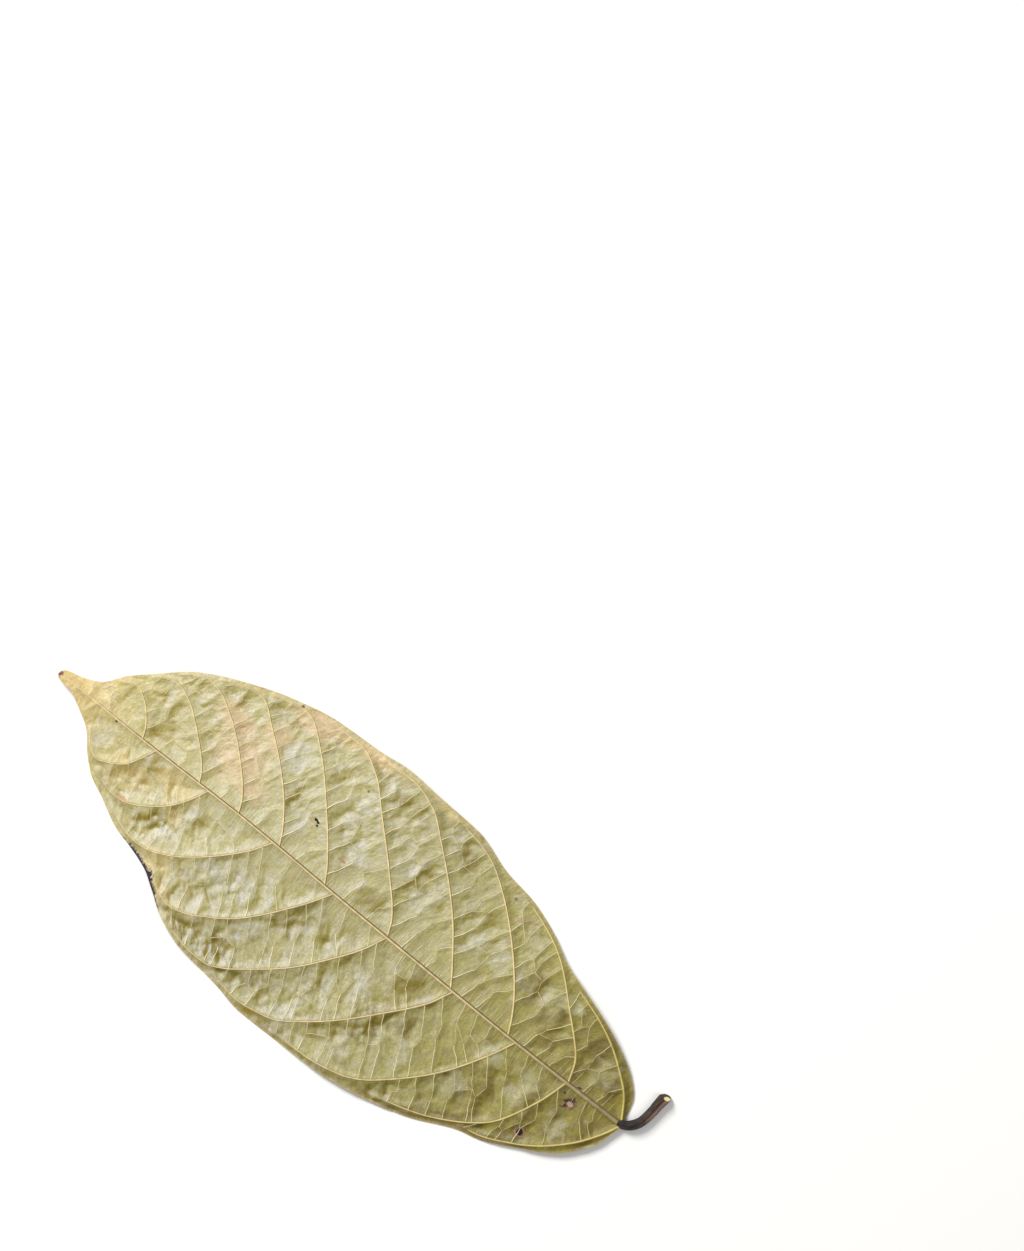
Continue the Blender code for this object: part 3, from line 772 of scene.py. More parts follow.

# %% Spots
# A tear, two old wounds near the base and small specks. The near-black middles of the tear and
# of the first wound are painted shade that stands for holes through the blade. Each is its
# middle s and v, half its length along s and across v, its turn in degrees and its colour
SPOTS = (
    (123.0, 13.0, 1.5, 1.1, 0, "#a39464"), (122.5, 13.5, 0.75, 0.45, 0, "#140e0a"),
    (121.7, 13.15, 0.55, 0.5, 0, "#140e0a"), (121.4, 12.3, 0.5, 0.45, 0, "#1d1510"),
    (21.5, -19.5, 2.0, 1.9, 0, "#5a4a1c"), (21.5, -19.5, 1.7, 1.5, 0, "#a4765a"),
    (21.5, -19.5, 1.25, 1.1, 0, "#150c08"), (15.4, -4.1, 1.9, 1.7, 0, "#5e4a2c"),
    (16.2, -3.6, 2.2, 0.5, 35, "#3c2a16"), (14.9, -3.4, 0.5, 1.9, 20, "#46341f"),
    (16.0, -4.9, 0.5, 1.8, -35, "#3c2a16"), (15.2, -4.3, 1.0, 0.9, 0, "#b08a78"),
    (16.2, 0.9, 1.2, 0.4, 40, "#3c2a16"), (18.6, -2.6, 0.6, 0.45, 0, "#54422f"),
    (145.8, 36.0, 0.5, 0.4, 0, "#5c4632"), (116.0, 29.0, 0.5, 0.4, 0, "#6a5a45"),
    (64.0, 31.5, 0.6, 0.5, 0, "#78694f"), (109.5, 9.0, 1.2, 0.5, 0, "#a58358"),
    (58.5, 28.0, 2.4, 0.35, 45, "#ad8a70"), (184.5, -0.7, 0.5, 0.35, 0, "#5c4c36"),
    (170.0, -17.0, 2.4, 1.0, 10, "#ad8f66"), (144.0, 31.0, 2.2, 1.2, 30, "#a5905c"),
    (206.1, 0.1, 1.3, 1.0, 0, "#7a4f3a"), (149.6, -29.2, 1.3, 1.9, 25, "#2c2228"),
)
# Grain frays a spot by this much, and its border runs between these two distances
SPOT_FRAY = 1.6
SPOT_BORDER = (1.55, 1.9)
THROUGH = 1000.0


def spotted(tree, place, grain, colour):
    """Draws each spot over the colour, its edge made ragged by the grain."""
    for s, v, half_s, half_v, turn, code in SPOTS:
        local = add(tree, "Mapping", {
            "Vector": place, "Location": (v - V_SHIFT, s - S_SHIFT, 0), "Rotation": (0, 0, np.radians(turn)),
            "Scale": (half_v, half_s, THROUGH),
        }, vector_type="TEXTURE")
        away = add(tree, "VectorMath", {0: local}, out="Value", operation="LENGTH")
        away = add(tree, "Math", {0: grain, 1: SPOT_FRAY, 2: away}, operation="MULTIPLY_ADD")
        inside = add(tree, "MapRange", {"Value": away, 1: SPOT_BORDER[0], 2: SPOT_BORDER[1], 3: 1.0, 4: 0.0})
        colour = add(tree, "Mix", {0: inside, 6: colour, 7: linear(code)}, **COLOUR)
    return colour


print("spots:", len(SPOTS))

# %% Scorched margin
# It runs between two places on the left edge, and is this wide in its middle and at its ends
SCORCH = linear("#3a2c30")
SCORCH_FROM_TO = (141.0, 164.0)
SCORCH_WIDTH = (2.0, 0.9)
SCORCH_FRAY = 2.4
SCORCH_BORDER = (-0.4, 0.3)


def scorched(tree, edge, grain, axes, colour):
    """A dark margin on the left half, a millimetre or two wide, frayed by the grain."""
    middle = sum(SCORCH_FROM_TO) / 2 - S_SHIFT
    reach = (SCORCH_FROM_TO[1] - SCORCH_FROM_TO[0]) / 2
    off = add(tree, "Math", {0: axes.outputs["Y"], 1: middle}, operation="SUBTRACT")
    off = add(tree, "Math", {0: off}, operation="ABSOLUTE")
    narrowing = {1: reach / 2, 2: reach, 3: SCORCH_WIDTH[0], 4: SCORCH_WIDTH[1]}
    near = add(tree, "MapRange", {"Value": off, **narrowing})
    close = add(tree, "Math", {0: off, 1: reach}, operation="LESS_THAN")
    near = add(tree, "Math", {0: near, 1: close}, operation="MULTIPLY")
    inwards = add(tree, "Math", {0: grain, 1: SCORCH_FRAY, 2: edge}, operation="MULTIPLY_ADD")
    burnt = add(tree, "Math", {0: near, 1: inwards}, operation="SUBTRACT")
    burnt = add(tree, "MapRange", {"Value": burnt, 1: SCORCH_BORDER[0], 2: SCORCH_BORDER[1]})
    left = add(tree, "Math", {0: axes.outputs["X"], 1: 0.0}, operation="LESS_THAN")
    burnt = add(tree, "Math", {0: burnt, 1: left}, operation="MULTIPLY")
    return add(tree, "Mix", {0: burnt, 6: colour, 7: SCORCH}, **COLOUR)


print("scorched margin, mm long:", SCORCH_FROM_TO[1] - SCORCH_FROM_TO[0])

# %% Puckers
# They are as wide as the finest mesh of veins, bent by noise, deepest at their corners
PUCKER_MM, PUCKER_BEND_MM, PUCKER_PUSH = (1.4, 2.0), 2.0, 2.2
PUCKER_DEPTH = -1.6
BUMP_MM = 0.2


def puckered(tree, lay, calm, texture):
    """Bump of the smallest puckers and the grain, which are too fine for the mesh."""
    bend = add(tree, "TexNoise", {"Vector": lay, "Scale": 1 / PUCKER_BEND_MM, "Detail": 3.0}, out="Color")
    push, per_mm = (PUCKER_PUSH, PUCKER_PUSH, 0.0), (1 / PUCKER_MM[0], 1 / PUCKER_MM[1], 1.0)
    bent = add(tree, "VectorMath", {0: bend, 1: push, 2: lay}, operation="MULTIPLY_ADD")
    bent = add(tree, "VectorMath", {0: bent, 1: per_mm}, operation="MULTIPLY")
    pucker = add(tree, "TexVoronoi", {"Vector": bent, "Scale": 1.0}, out="Distance")
    pucker = add(tree, "Math", {0: pucker, 1: 2.0}, operation="POWER")
    pucker = add(tree, "Math", {0: pucker, 1: calm}, operation="MULTIPLY")
    height = add(tree, "Math", {0: pucker, 1: PUCKER_DEPTH, 2: texture}, operation="MULTIPLY_ADD")
    return add(tree, "Bump", {"Height": height, "Strength": 1.0, "Distance": BUMP_MM * MM})


print("puckers, mm across and along:", *PUCKER_MM)

# %% Dried lamina
# The olive tint carries the leaf's own olive and painted shade; the pale colour carries its pale bloom and
# painted sheen
OLIVE_AND_SHADE, PALE_AND_SHEEN, STRAW, BLUSH = (linear(code) for code in ("#c9bb4c", "#c0bdb8", "#c9af74", "#d2b48e"))
# The face that the leaf lies on is evenly olive, with a pale line where each vein runs
UNDER, UNDER_VEIN = linear("#7d7440"), linear("#a99c68")
BLOTCH_MM, GRAIN_MM = 4.0, 0.7
# Where blotches and the olive field together start to tint, and where they tint fully
OLIVE_BORDER = (0.75, 1.3)
# A pale place is paler where a blotch is: the blotch times the first, plus the second
PALE_BLOTCH = (1.6, -0.1)
# Wrinkles run with the rungs, fibres square to the midrib: size across and along
WRINKLE_MM, FIBRE_MM = (1.0, 2.2), (0.5, 4.5)
# Grain and lines together vary between the first two, and shade the colour by the others
SPECKLE = {1: 0.7, 2: 1.3, 3: 0.78, 4: 1.22}
# Scorched and dead spots lost their wax, so the darkest colours are matt
WAX = 0.6
MATT = {1: 0.03, 2: 0.12, 3: 0.95, 4: 0.46}


def dried_lamina():
    """Main colour, then olive places with painted shade, pale places with painted sheen, straw and blushed
    places, fibres and grain, and spots.
    """
    finish, tree, shader = new_finish("dried_leaf_lamina", Specular_IOR_Level=WAX)
    place = place_in_mm(tree)
    axes = add(tree, "SeparateXYZ", {0: place}).node
    field = {
        name: add(tree, "Attribute", out="Fac", attribute_name=name)
        for name in ("olive_and_shade", "pale", "straw", "blush", "hidden", "vein", "edge", "comb", "calm")
    }
    lay = add(tree, "Attribute", out="Vector", attribute_name="lay")
    blotch, grain = (
        add(tree, "TexNoise", {"Vector": place, "Scale": 1 / size, "Detail": detail, "Roughness": rough})
        for size, detail, rough in ((BLOTCH_MM, 5.0, 0.6), (GRAIN_MM, 4.0, 0.65))
    )

    colour = colour_by_age(tree, place, axes.outputs["Y"])
    # Olive darkens by the leaf's own olive and by painted shade, pale lightens by its bloom and by painted
    # sheen and highlights
    olive_and_shade = add(tree, "Math", {0: blotch, 1: field["olive_and_shade"]}, operation="ADD")
    olive_and_shade = add(tree, "MapRange", {"Value": olive_and_shade, 1: OLIVE_BORDER[0], 2: OLIVE_BORDER[1]})
    colour = add(tree, "Mix", {0: olive_and_shade, 6: colour, 7: OLIVE_AND_SHADE}, **TINT)
    pale = add(tree, "Math", {0: blotch, 1: PALE_BLOTCH[0], 2: PALE_BLOTCH[1]}, operation="MULTIPLY_ADD")
    pale = add(tree, "Math", {0: pale, 1: field["pale"]}, operation="MULTIPLY")
    under = add(tree, "Mix", {0: field["vein"], 6: UNDER, 7: UNDER_VEIN}, **COLOUR)
    layers = ((pale, PALE_AND_SHEEN), (field["straw"], STRAW), (field["blush"], BLUSH), (field["hidden"], under))
    for amount, layer in layers:
        colour = add(tree, "Mix", {0: amount, 6: colour, 7: layer}, **COLOUR)
    wrinkle, fibre = drawn_noise(tree, lay, WRINKLE_MM), drawn_noise(tree, place, FIBRE_MM[::-1])
    lines = add(tree, "Mix", {0: field["comb"], 2: wrinkle, 3: fibre})
    texture = add(tree, "Math", {0: lines, 1: grain}, operation="ADD")
    speckle = add(tree, "MapRange", {"Value": texture, **SPECKLE})
    colour = add(tree, "Mix", {0: 1.0, 6: colour, 7: speckle}, **TINT)
    colour = scorched(tree, field["edge"], grain, axes, colour)
    colour = spotted(tree, place, grain, colour)
    tree.links.new(colour, shader.inputs["Base Color"])
    tree.links.new(add(tree, "MapRange", {"Value": colour, **MATT}), shader.inputs["Roughness"])
    tree.links.new(puckered(tree, lay, field["calm"], texture), shader.inputs["Normal"])
    return finish


lamina_finish = dried_lamina()
print("lamina nodes:", len(lamina_finish.node_tree.nodes))

# %% [markdown]
# ## Dry veins and stalk
#
# Vein strands are woody: cream on the crest, browner on the flanks and towards the stalk,
# with hardly any shine. Paint brushed along them by hand would never keep to the crest, so
# the colour reads each vein's own UV, which says how far round its ring a place is. The
# stalk's bark dried almost black where it bends, brown with one pinkish side further out,
# and its cut end shows cream wood in a dark rim.

# %% Dried veins
# The share of a turn at which a ring is highest, and how far the crest's colour reaches
CREST_TURN = 0.25
CREST = (0.12, 0.18)
# A dark line on one side of the midrib: its middle and reach as shares of a turn, and the
# places between which it fades, down to the last number
DARK_LINE = (0.09, 0.08)
DARK_LINE_FADE = (174, 192, 0.1)
# Worn patches: their size, and how dark and light they are
WORN_MM, WORN = 1.6, {1: 0.3, 2: 0.7, 3: 0.82, 4: 1.1}


def dried_vein(name, crest, flank, base, base_from_to=(0, 60), dark_side=None):
    """Crest and flank by the share of a turn, and another colour towards the base."""
    finish, tree, shader = new_finish(name, Roughness=0.5)
    place = place_in_mm(tree)
    turn = add(tree, "SeparateXYZ", {0: add(tree, "UVMap", uv_map="grown")}, out="Y")
    off = add(tree, "Math", {0: turn, 1: CREST_TURN}, operation="SUBTRACT")
    off = add(tree, "Math", {0: off}, operation="ABSOLUTE")
    low = add(tree, "MapRange", {"Value": off, 1: CREST[0], 2: CREST[1]})
    colour = add(tree, "Mix", {0: low, 6: linear(crest), 7: linear(flank)}, **COLOUR)
    along = add(tree, "SeparateXYZ", {0: place}, out="Y")
    start, end = (s - S_SHIFT for s in base_from_to)
    near_base = add(tree, "MapRange", {"Value": along, 1: start, 2: end, 3: 1.0, 4: 0.0})
    colour = add(tree, "Mix", {0: near_base, 6: colour, 7: linear(base)}, **COLOUR)
    if dark_side:
        dark_line = add(tree, "Math", {0: turn, 1: DARK_LINE[0], 2: DARK_LINE[1]}, operation="COMPARE")
        start, end = (s - S_SHIFT for s in DARK_LINE_FADE[:2])
        left = add(tree, "MapRange", {"Value": along, 1: start, 2: end, 3: 1.0, 4: DARK_LINE_FADE[2]})
        dark_line = add(tree, "Math", {0: dark_line, 1: left}, operation="MULTIPLY")
        colour = add(tree, "Mix", {0: dark_line, 6: colour, 7: linear(dark_side)}, **COLOUR)
    worn = add(tree, "TexNoise", {"Vector": place, "Scale": 1 / WORN_MM, "Detail": 3.0})
    worn = add(tree, "MapRange", {"Value": worn, **WORN})
    colour = add(tree, "Mix", {0: 1.0, 6: colour, 7: worn}, **TINT)
    tree.links.new(colour, shader.inputs["Base Color"])
    return finish


vein_finish = dried_vein("dried_side_vein", "#dbc78f", "#84693a", "#c3b25e")
midrib_finish = dried_vein("dried_midrib", "#d5bf8e", "#ad9362", "#93845a", (5, 62), "#71603a")
net_finish = dried_vein("dried_small_vein", "#e2dab2", "#aea26a", "#bdb372")
print("finishes so far:", len(bpy.data.materials))

# %% Dried stalk
BARK, BARK_STREAK = linear("#120d0c"), linear("#4a3a2a")
BARK_BEND, BARK_SIDE = linear("#1b1519"), linear("#94705f")
WOOD, WOOD_RIM = linear("#d8c593"), linear("#3a2a20")
# Streaks of the bark: how many to a mm along it, and to a turn
STREAKS = (0.5, 22.0, 1.0)
STREAK = {1: 0.3, 2: 0.7}
# The pinkish side: its share of a turn, how wide it is, and where along the stalk it starts
SIDE_TURN = 0.11
SIDE = {1: 0.03, 2: 0.11, 3: 0.85, 4: 0.0}
SIDE_START = {1: 8.0, 2: 11.0}
# The blackened bend at the base, and the wood of the cut end: its middle (s, v, z) and radii
BEND = {1: 6.0, 2: 9.0, 3: 0.7, 4: 0.0}
CUT_WOOD = (-5.3, 14.6, 2.0)
WOOD_RADIUS = {1: 0.8, 2: 1.15, 3: 1.0, 4: 0.0}
ON_CAP = -0.5


def dried_stalk():
    """Streaked bark with a pinkish side and a black bend, and the wood of the cut end."""
    finish, tree, shader = new_finish("dried_leaf_stalk", Roughness=0.6, Specular_IOR_Level=0.35)
    place = place_in_mm(tree)
    way = add(tree, "SeparateXYZ", {0: add(tree, "UVMap", uv_map="grown")}).node
    run, turn = way.outputs["X"], way.outputs["Y"]
    drawn = add(tree, "CombineXYZ", {"X": run, "Y": turn})
    drawn = add(tree, "VectorMath", {0: drawn, 1: STREAKS}, operation="MULTIPLY")
    streak = add(tree, "TexNoise", {"Vector": drawn, "Scale": 1.0, "Detail": 4.0})
    streak = add(tree, "MapRange", {"Value": streak, **STREAK})
    side = add(tree, "Math", {0: turn, 1: SIDE_TURN}, operation="SUBTRACT")
    side = add(tree, "Math", {0: side}, operation="ABSOLUTE")
    side = add(tree, "MapRange", {"Value": side, **SIDE})
    out = add(tree, "MapRange", {"Value": run, **SIDE_START})
    side = add(tree, "Math", {0: side, 1: out}, operation="MULTIPLY")
    bend = add(tree, "MapRange", {"Value": run, **BEND})
    bark = BARK
    for amount, layer in ((streak, BARK_STREAK), (side, BARK_SIDE), (bend, BARK_BEND)):
        bark = add(tree, "Mix", {0: amount, 6: bark, 7: layer}, **COLOUR)
    middle = (CUT_WOOD[1] - V_SHIFT, CUT_WOOD[0] - S_SHIFT, CUT_WOOD[2])
    away = add(tree, "VectorMath", {0: place, 1: middle}, out="Value", operation="DISTANCE")
    wood = add(tree, "MapRange", {"Value": away, **WOOD_RADIUS})
    end = add(tree, "Mix", {0: wood, 6: WOOD_RIM, 7: WOOD}, **COLOUR)
    cut = add(tree, "Math", {0: run, 1: ON_CAP}, operation="LESS_THAN")
    tree.links.new(add(tree, "Mix", {0: cut, 6: bark, 7: end}, **COLOUR), shader.inputs["Base Color"])
    bump = add(tree, "Bump", {"Height": streak, "Strength": 0.9, "Distance": BUMP_MM * MM})
    tree.links.new(bump, shader.inputs["Normal"])
    return finish


stalk_finish = dried_stalk()
print("finishes:", len(bpy.data.materials))

# %% [markdown]
# ## Dress the blade
#
# Colour goes with the relief. Skin that faces the light is painted pale as a painted highlight
# and sheen, slopes that turn away and hollows are painted olive as painted shade, crests are
# paler, partly a waxy bloom and partly painted sheen, edges dried to straw and one part
# blushed. Noise alone could place such patches, but then hue and shade would not agree, so
# the slope of the finished relief is worked out and read here. Each field is stored as a
# number per vertex, and the material's own noise frays its borders.

# %% Blushed and straw-coloured places
BLUSHED = (
    (150, 13, 9, 7, 20), (158, 21, 7, 4, 20), (146, 25, 5, 4, 0), (138, 35, 9, 3, -10), (120, 38, 7, 2, 0),
    (142, 8, 5, 3, 0),
)
STRAWED = (
    (160, -4, 7, 4, 0), (156, -11, 4, 3, 0), (173, -10, 7, 4, 0), (152, -25, 5, 4, 0), (145, -31, 6, 3, 0),
    (100, 40, 12, 1.6, 2), (126, 38, 14, 2, -4), (90, 40, 8, 1.5, 6), (141, 37, 8, 1.8, -12),
    (155, 33.5, 9, 1.8, -21),
)
BLUSH_SHARE, STRAW_SHARE = 0.6, 0.45


def strongest(s, v, places):
    """The strongest of several patches at each place."""
    return np.max([patch(s, v, place) for place in places], axis=0)


def slope_to_light(height):
    """How steeply the relief falls towards the light: the change from one grid point to the
    next over the step between them, as the grid's rows lie along v and its columns lean."""
    up_rows, up_columns = np.gradient(height.reshape(ROWS, COLUMNS))
    lean, step_v = np.gradient(grid_v)
    climb_v = up_columns / step_v
    climb_s = (up_rows - climb_v * lean) / np.gradient(grid_s, axis=0)
    return -(climb_s * LIGHT_WAY[0] + climb_v * LIGHT_WAY[1]).ravel()


straw_patches = STRAW_SHARE * strongest(torn_s, torn_v, STRAWED)
blush = BLUSH_SHARE * strongest(torn_s, torn_v, BLUSHED)
print("blushed and straw-coloured share:", blush.mean().round(3), straw_patches.mean().round(3))

# %% Causes that the colours share
# Facets are read at the top of the pillow that a place belongs to, so a pillow is of one tone: painted shade
# where its facet leans away from the light, painted highlight where it leans to it
spot_s, spot_v = torn_s + top_s, torn_v + top_v
painted_shade_away, painted_light_to = strongest(spot_s, spot_v, AWAY), strongest(spot_s, spot_v, TOWARDS)
# How fast the crest gives way down the side of a pillow
CREST_DROP = 5
crest = np.clip(1 - CREST_DROP * pillow_low, -1, 1) * calm
# The relief's slope to the light is painted into the colour as light and shade: the slope that counts as
# full, and its strength along the leaf
FULL_TILT = 0.3
TILT_RUN = ((0, 40, 90, 130), (0.6, 0.6, 0.75, 0.9))
painted_light_tilt = np.clip(slope_to_light(relief) / FULL_TILT, -1, 1) * np.interp(flat_s, *TILT_RUN)
print("tilt from", painted_light_tilt.min().round(2), "to", painted_light_tilt.max().round(2))

# %% Olive and pale
OLIVE_RUN = ((0, 30, 60, 90, 130, 170, 206), (0.5, 0.45, 0.35, 0.28, 0.2, 0.2, 0.1))
# Slow drift: two noises, each with its size, share and seed
DRIFTS = ((26, 1.0, 31), (12, 0.5, 32))
# A hollow counts once a trough is this much of its full depth, and is painted darker olive as painted shade
HOLLOW_START = 0.3
# An olive strip beside the left edge, a painted shade: its width, and its strength along the leaf
STRIP_WIDTH = 2.4
STRIP_RUN = ((15, 25, 102, 112), (0, 1, 1, 0))
# What drift, lean away (painted shade), lean to the light (painted highlight), crest, tilt (painted light and
# shade), hollow (painted shade) and strip (painted shade) each add
OLIVE_WEIGHTS = (0.15, 0.24, -0.18, -0.1, -0.3, 0.5, 0.45)
# Painted highlight on a facet that leans to the light, and what a crest adds there
PALE_FACET = (0.27, 0.15)
# Crests are paler, partly a waxy bloom and partly painted sheen
PALE_CREST = 0.15
PALE_CREST_RUN = ((0, 30, 70), (0.1, 0.2, 1))
# Pale all over along the leaf, and how much more so for each unit of tilt: painted sheen on slopes that face
# the light and painted shade on slopes that turn away
PALE_RUN = ((0, 40, 80, 170, 200), (0.04, 0.1, 0.22, 0.22, 0))
PALE_TILT = 2.4
drift = sum(share * noise(flat_s / size, flat_v / size, seed) for size, share, seed in DRIFTS)
painted_hollow_shade = np.clip(-valleys / TROUGH[0] - HOLLOW_START, 0, 1)
painted_edge_shade = beside(border_gap, STRIP_WIDTH) * np.interp(flat_s, *STRIP_RUN) * (flat_v < 0)
causes = (drift, painted_shade_away, painted_light_to, crest, painted_light_tilt, painted_hollow_shade, painted_edge_shade)
olive_and_shade = np.interp(flat_s, *OLIVE_RUN) + sum(share * cause for share, cause in zip(OLIVE_WEIGHTS, causes))
pale = painted_light_to * (PALE_FACET[0] + PALE_FACET[1] * crest)
pale += PALE_CREST * np.clip(crest, 0, 1) * np.interp(flat_s, *PALE_CREST_RUN)
pale += np.interp(flat_s, *PALE_RUN) * (1 + PALE_TILT * painted_light_tilt)
print("olive and pale, mean:", olive_and_shade.mean().round(2), pale.mean().round(2))

# %% Straw at the rim and the tip, and all the fields
# Straw rim: its share, its width in mm, and its strength along the leaf
RIM = (0.55, 0.35)
RIM_RUN = ((0, 60), (0.4, 1))
TIP_STRAW = (186, 206)
# Fibres show this far beside the midrib, and this strongly along it
COMB_REACH = 8
COMB_RUN = ((0, 20, 150, 180), (0.5, 1, 1, 0))
straw = RIM[0] * np.exp(-border_gap / RIM[1]) * np.interp(flat_s, *RIM_RUN)
straw = np.maximum(straw + np.interp(flat_s, TIP_STRAW, (0, 1)), straw_patches)
fields = {
    "olive_and_shade": olive_and_shade, "pale": np.clip(pale, 0, 1), "straw": np.clip(straw, 0, 1), "blush": blush,
    "comb": beside(flat_v, COMB_REACH) * np.interp(flat_s, *COMB_RUN), "calm": calm,
    "vein": beside(vein_gap, VEIN_FILLET[1]), "edge": border_gap,
    "lay": np.stack([*rung_way(flat_s, flat_v), 0 * flat_s], axis=1),
}
print({name: values.mean().round(2) for name, values in fields.items()})

# %% [markdown]
# ## The blade's mesh
#
# A piece is made of arrays of points and faces and goes straight to the CAD frame, so no
# object ever needs a transform. The blade is a fine upper grid, a coarser lower one and a
# rim that joins them. Subdividing and displacing a plane would reach the same relief, but
# its edge would not keep to the outline, and its lower face would be as heavy as the upper.

# %% Pieces and their attributes


def add_piece(name, points, faces, material, uv=None):
    """A piece from points on the leaf's ruler (s, v, z in mm), taken to the CAD frame in metres."""
    s, v, z = np.asarray(points).reshape(-1, 3).T
    mesh = bpy.data.meshes.new(name)
    rows = np.stack([(v - V_SHIFT) * MM, (s - S_SHIFT) * MM, z * MM], axis=1)
    mesh.from_pydata(rows, [], faces)
    mesh.materials.append(material)
    mesh.shade_smooth()
    if uv is not None:
        layer = mesh.uv_layers.new(name="grown")
        layer.uv.foreach_set("vector", np.asarray(uv, np.float32).ravel())
    piece = bpy.data.objects.new(name, mesh)
    bpy.context.scene.collection.objects.link(piece)
    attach(piece, "root")
    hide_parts("cocoa_leaf")
    print(name, "triangles and volume in mm3:", *measure(mesh))
    return piece


def measure(mesh):
    """Triangles, and the signed volume: the sum of corner . (corner x corner) / 6, which is
    positive when the faces point out."""
    mesh.calc_loop_triangles()
    places = np.empty(3 * len(mesh.vertices), np.float32)
    mesh.vertices.foreach_get("co", places)
    corners = np.empty(3 * len(mesh.loop_triangles), np.int32)
    mesh.loop_triangles.foreach_get("vertices", corners)
    a, b, c = places.reshape(-1, 3).astype(float)[corners.reshape(-1, 3).T]
    return len(mesh.loop_triangles), round(float((a * np.cross(b, c)).sum() / 6 / MM ** 3), 2)


def give(piece, name, values):
    """Stores a number or a vector per vertex, for the material to read by its name."""
    kind, field = ("FLOAT", "value") if values.ndim == 1 else ("FLOAT_VECTOR", "vector")
    layer = piece.data.attributes.new(name, kind, "POINT")
    layer.data.foreach_set(field, np.asarray(values, np.float32).ravel())


# %% Build the blade
# Edges that bend more than this, in radians, stay sharp
SHARP = 1.0


def closed_blade(points_above, points_below):
    """Upper grid, a lower grid turned over with every second row and column, and a rim that
    takes two steps of the upper border to one of the lower, in three triangles."""
    rows, columns = points_above.shape[:2]
    top = np.arange(rows * columns).reshape(rows, columns)
    bottom = np.arange(points_below.shape[0] * points_below.shape[1]).reshape(points_below.shape[:2])
    bottom += top.size
    quads = np.stack([top[:-1, :-1], top[:-1, 1:], top[1:, 1:], top[1:, :-1]], axis=-1)
    under = np.stack([bottom[:-1, :-1], bottom[1:, :-1], bottom[1:, 1:], bottom[:-1, 1:]], axis=-1)
    upper, lower = (np.r_[k[0], k[1:, -1], k[-1, -2::-1], k[-2:0:-1, 0]] for k in (top, bottom))
    a, b, c = upper[0::2], upper[1::2], np.roll(upper, -2)[0::2]
    first, second = lower, np.roll(lower, -1)
    steps = ((a, first, b), (first, second, b), (b, second, c))
    rim = np.concatenate([np.stack(corners, axis=1) for corners in steps])
    points = np.concatenate([points_above.reshape(-1, 3), points_below.reshape(-1, 3)])
    return points, quads.reshape(-1, 4).tolist() + under.reshape(-1, 4).tolist() + rim.tolist()


points_above = np.stack([grid_s, grid_v, above.reshape(ROWS, COLUMNS)], axis=-1)
points_below = np.stack([grid_s, grid_v, below.reshape(ROWS, COLUMNS)], axis=-1)[::2, ::2]
blade_points, blade_faces = closed_blade(points_above, points_below)
blade = add_piece("blade", blade_points, blade_faces, lamina_finish)
blade.data.set_sharp_from_angle(angle=SHARP)
for name, values in fields.items():
    grid = values.reshape(ROWS, COLUMNS, *values.shape[1:])
    give(blade, name, np.concatenate([values, grid[::2, ::2].reshape(-1, *values.shape[1:])]))
give(blade, "hidden", np.r_[np.zeros(ROWS * COLUMNS), np.ones(points_below.size // 3)])

# %% [markdown]
# ## Veins
#
# On the underside of a leaf the veins stand up like cords. Bump alone would leave them flat
# at the edge of a shadow, so each is an ellipse carried along its path, half sunk in the
# blade: the midrib and the side veins taper to their ends and sink there, and the net grows
# finer from rung to link. A curve object with a bevel would do for one vein, but not for
# hundreds that lie on a sheet, so one function sweeps them all at once.

# %% Lay lines on the blade


def on_blade(s, v):
    """Height of the blade's upper face at (s, v): the four grid points around it, blended."""
    row = np.interp(s, grid_s[:, 0], np.arange(ROWS))
    middle = midrib_at(s)
    u = (v - middle) / np.where(v < middle, edge_at(-1, s) + middle, edge_at(1, s) - middle)
    column = (np.clip(u, -1, 1) + 1) / 2 * (COLUMNS - 1)
    i, j = np.minimum(row.astype(int), ROWS - 2), np.minimum(column.astype(int), COLUMNS - 2)
    part_i, part_j = row - i, column - j
    height = above.reshape(ROWS, COLUMNS)
    return (
        height[i, j] * (1 - part_i) * (1 - part_j) + height[i + 1, j] * part_i * (1 - part_j)
        + height[i, j + 1] * (1 - part_i) * part_j + height[i + 1, j + 1] * part_i * part_j
    )


def lying(lines, sink):
    """Lines (s, v) laid on the blade, as (s, v, z), a little sunk into it."""
    lines = np.asarray(lines)
    return np.concatenate([lines, (on_blade(lines[..., 0], lines[..., 1]) - sink)[..., None]], axis=-1)


print("crest of the midrib lies at, mm:", lying(midrib_line, 0)[:, 2].max().round(2))

# %% Sweep, and the midrib
MIDRIB_HALF_WIDTH = ((0, 0.9), (12, 0.8), (45, 0.55), (110, 0.5), (180, 0.42), (195, 0.34), (200.5, 0.2))
MIDRIB_RISE = ((0, 0.5), (12, 0.55), (60, 0.5), (180, 0.38), (195, 0.32), (200.5, 0.2))
MIDRIB_END = 200.5
MIDRIB_RINGS, MIDRIB_SIDES, MIDRIB_SINK = 320, 16, 0.1


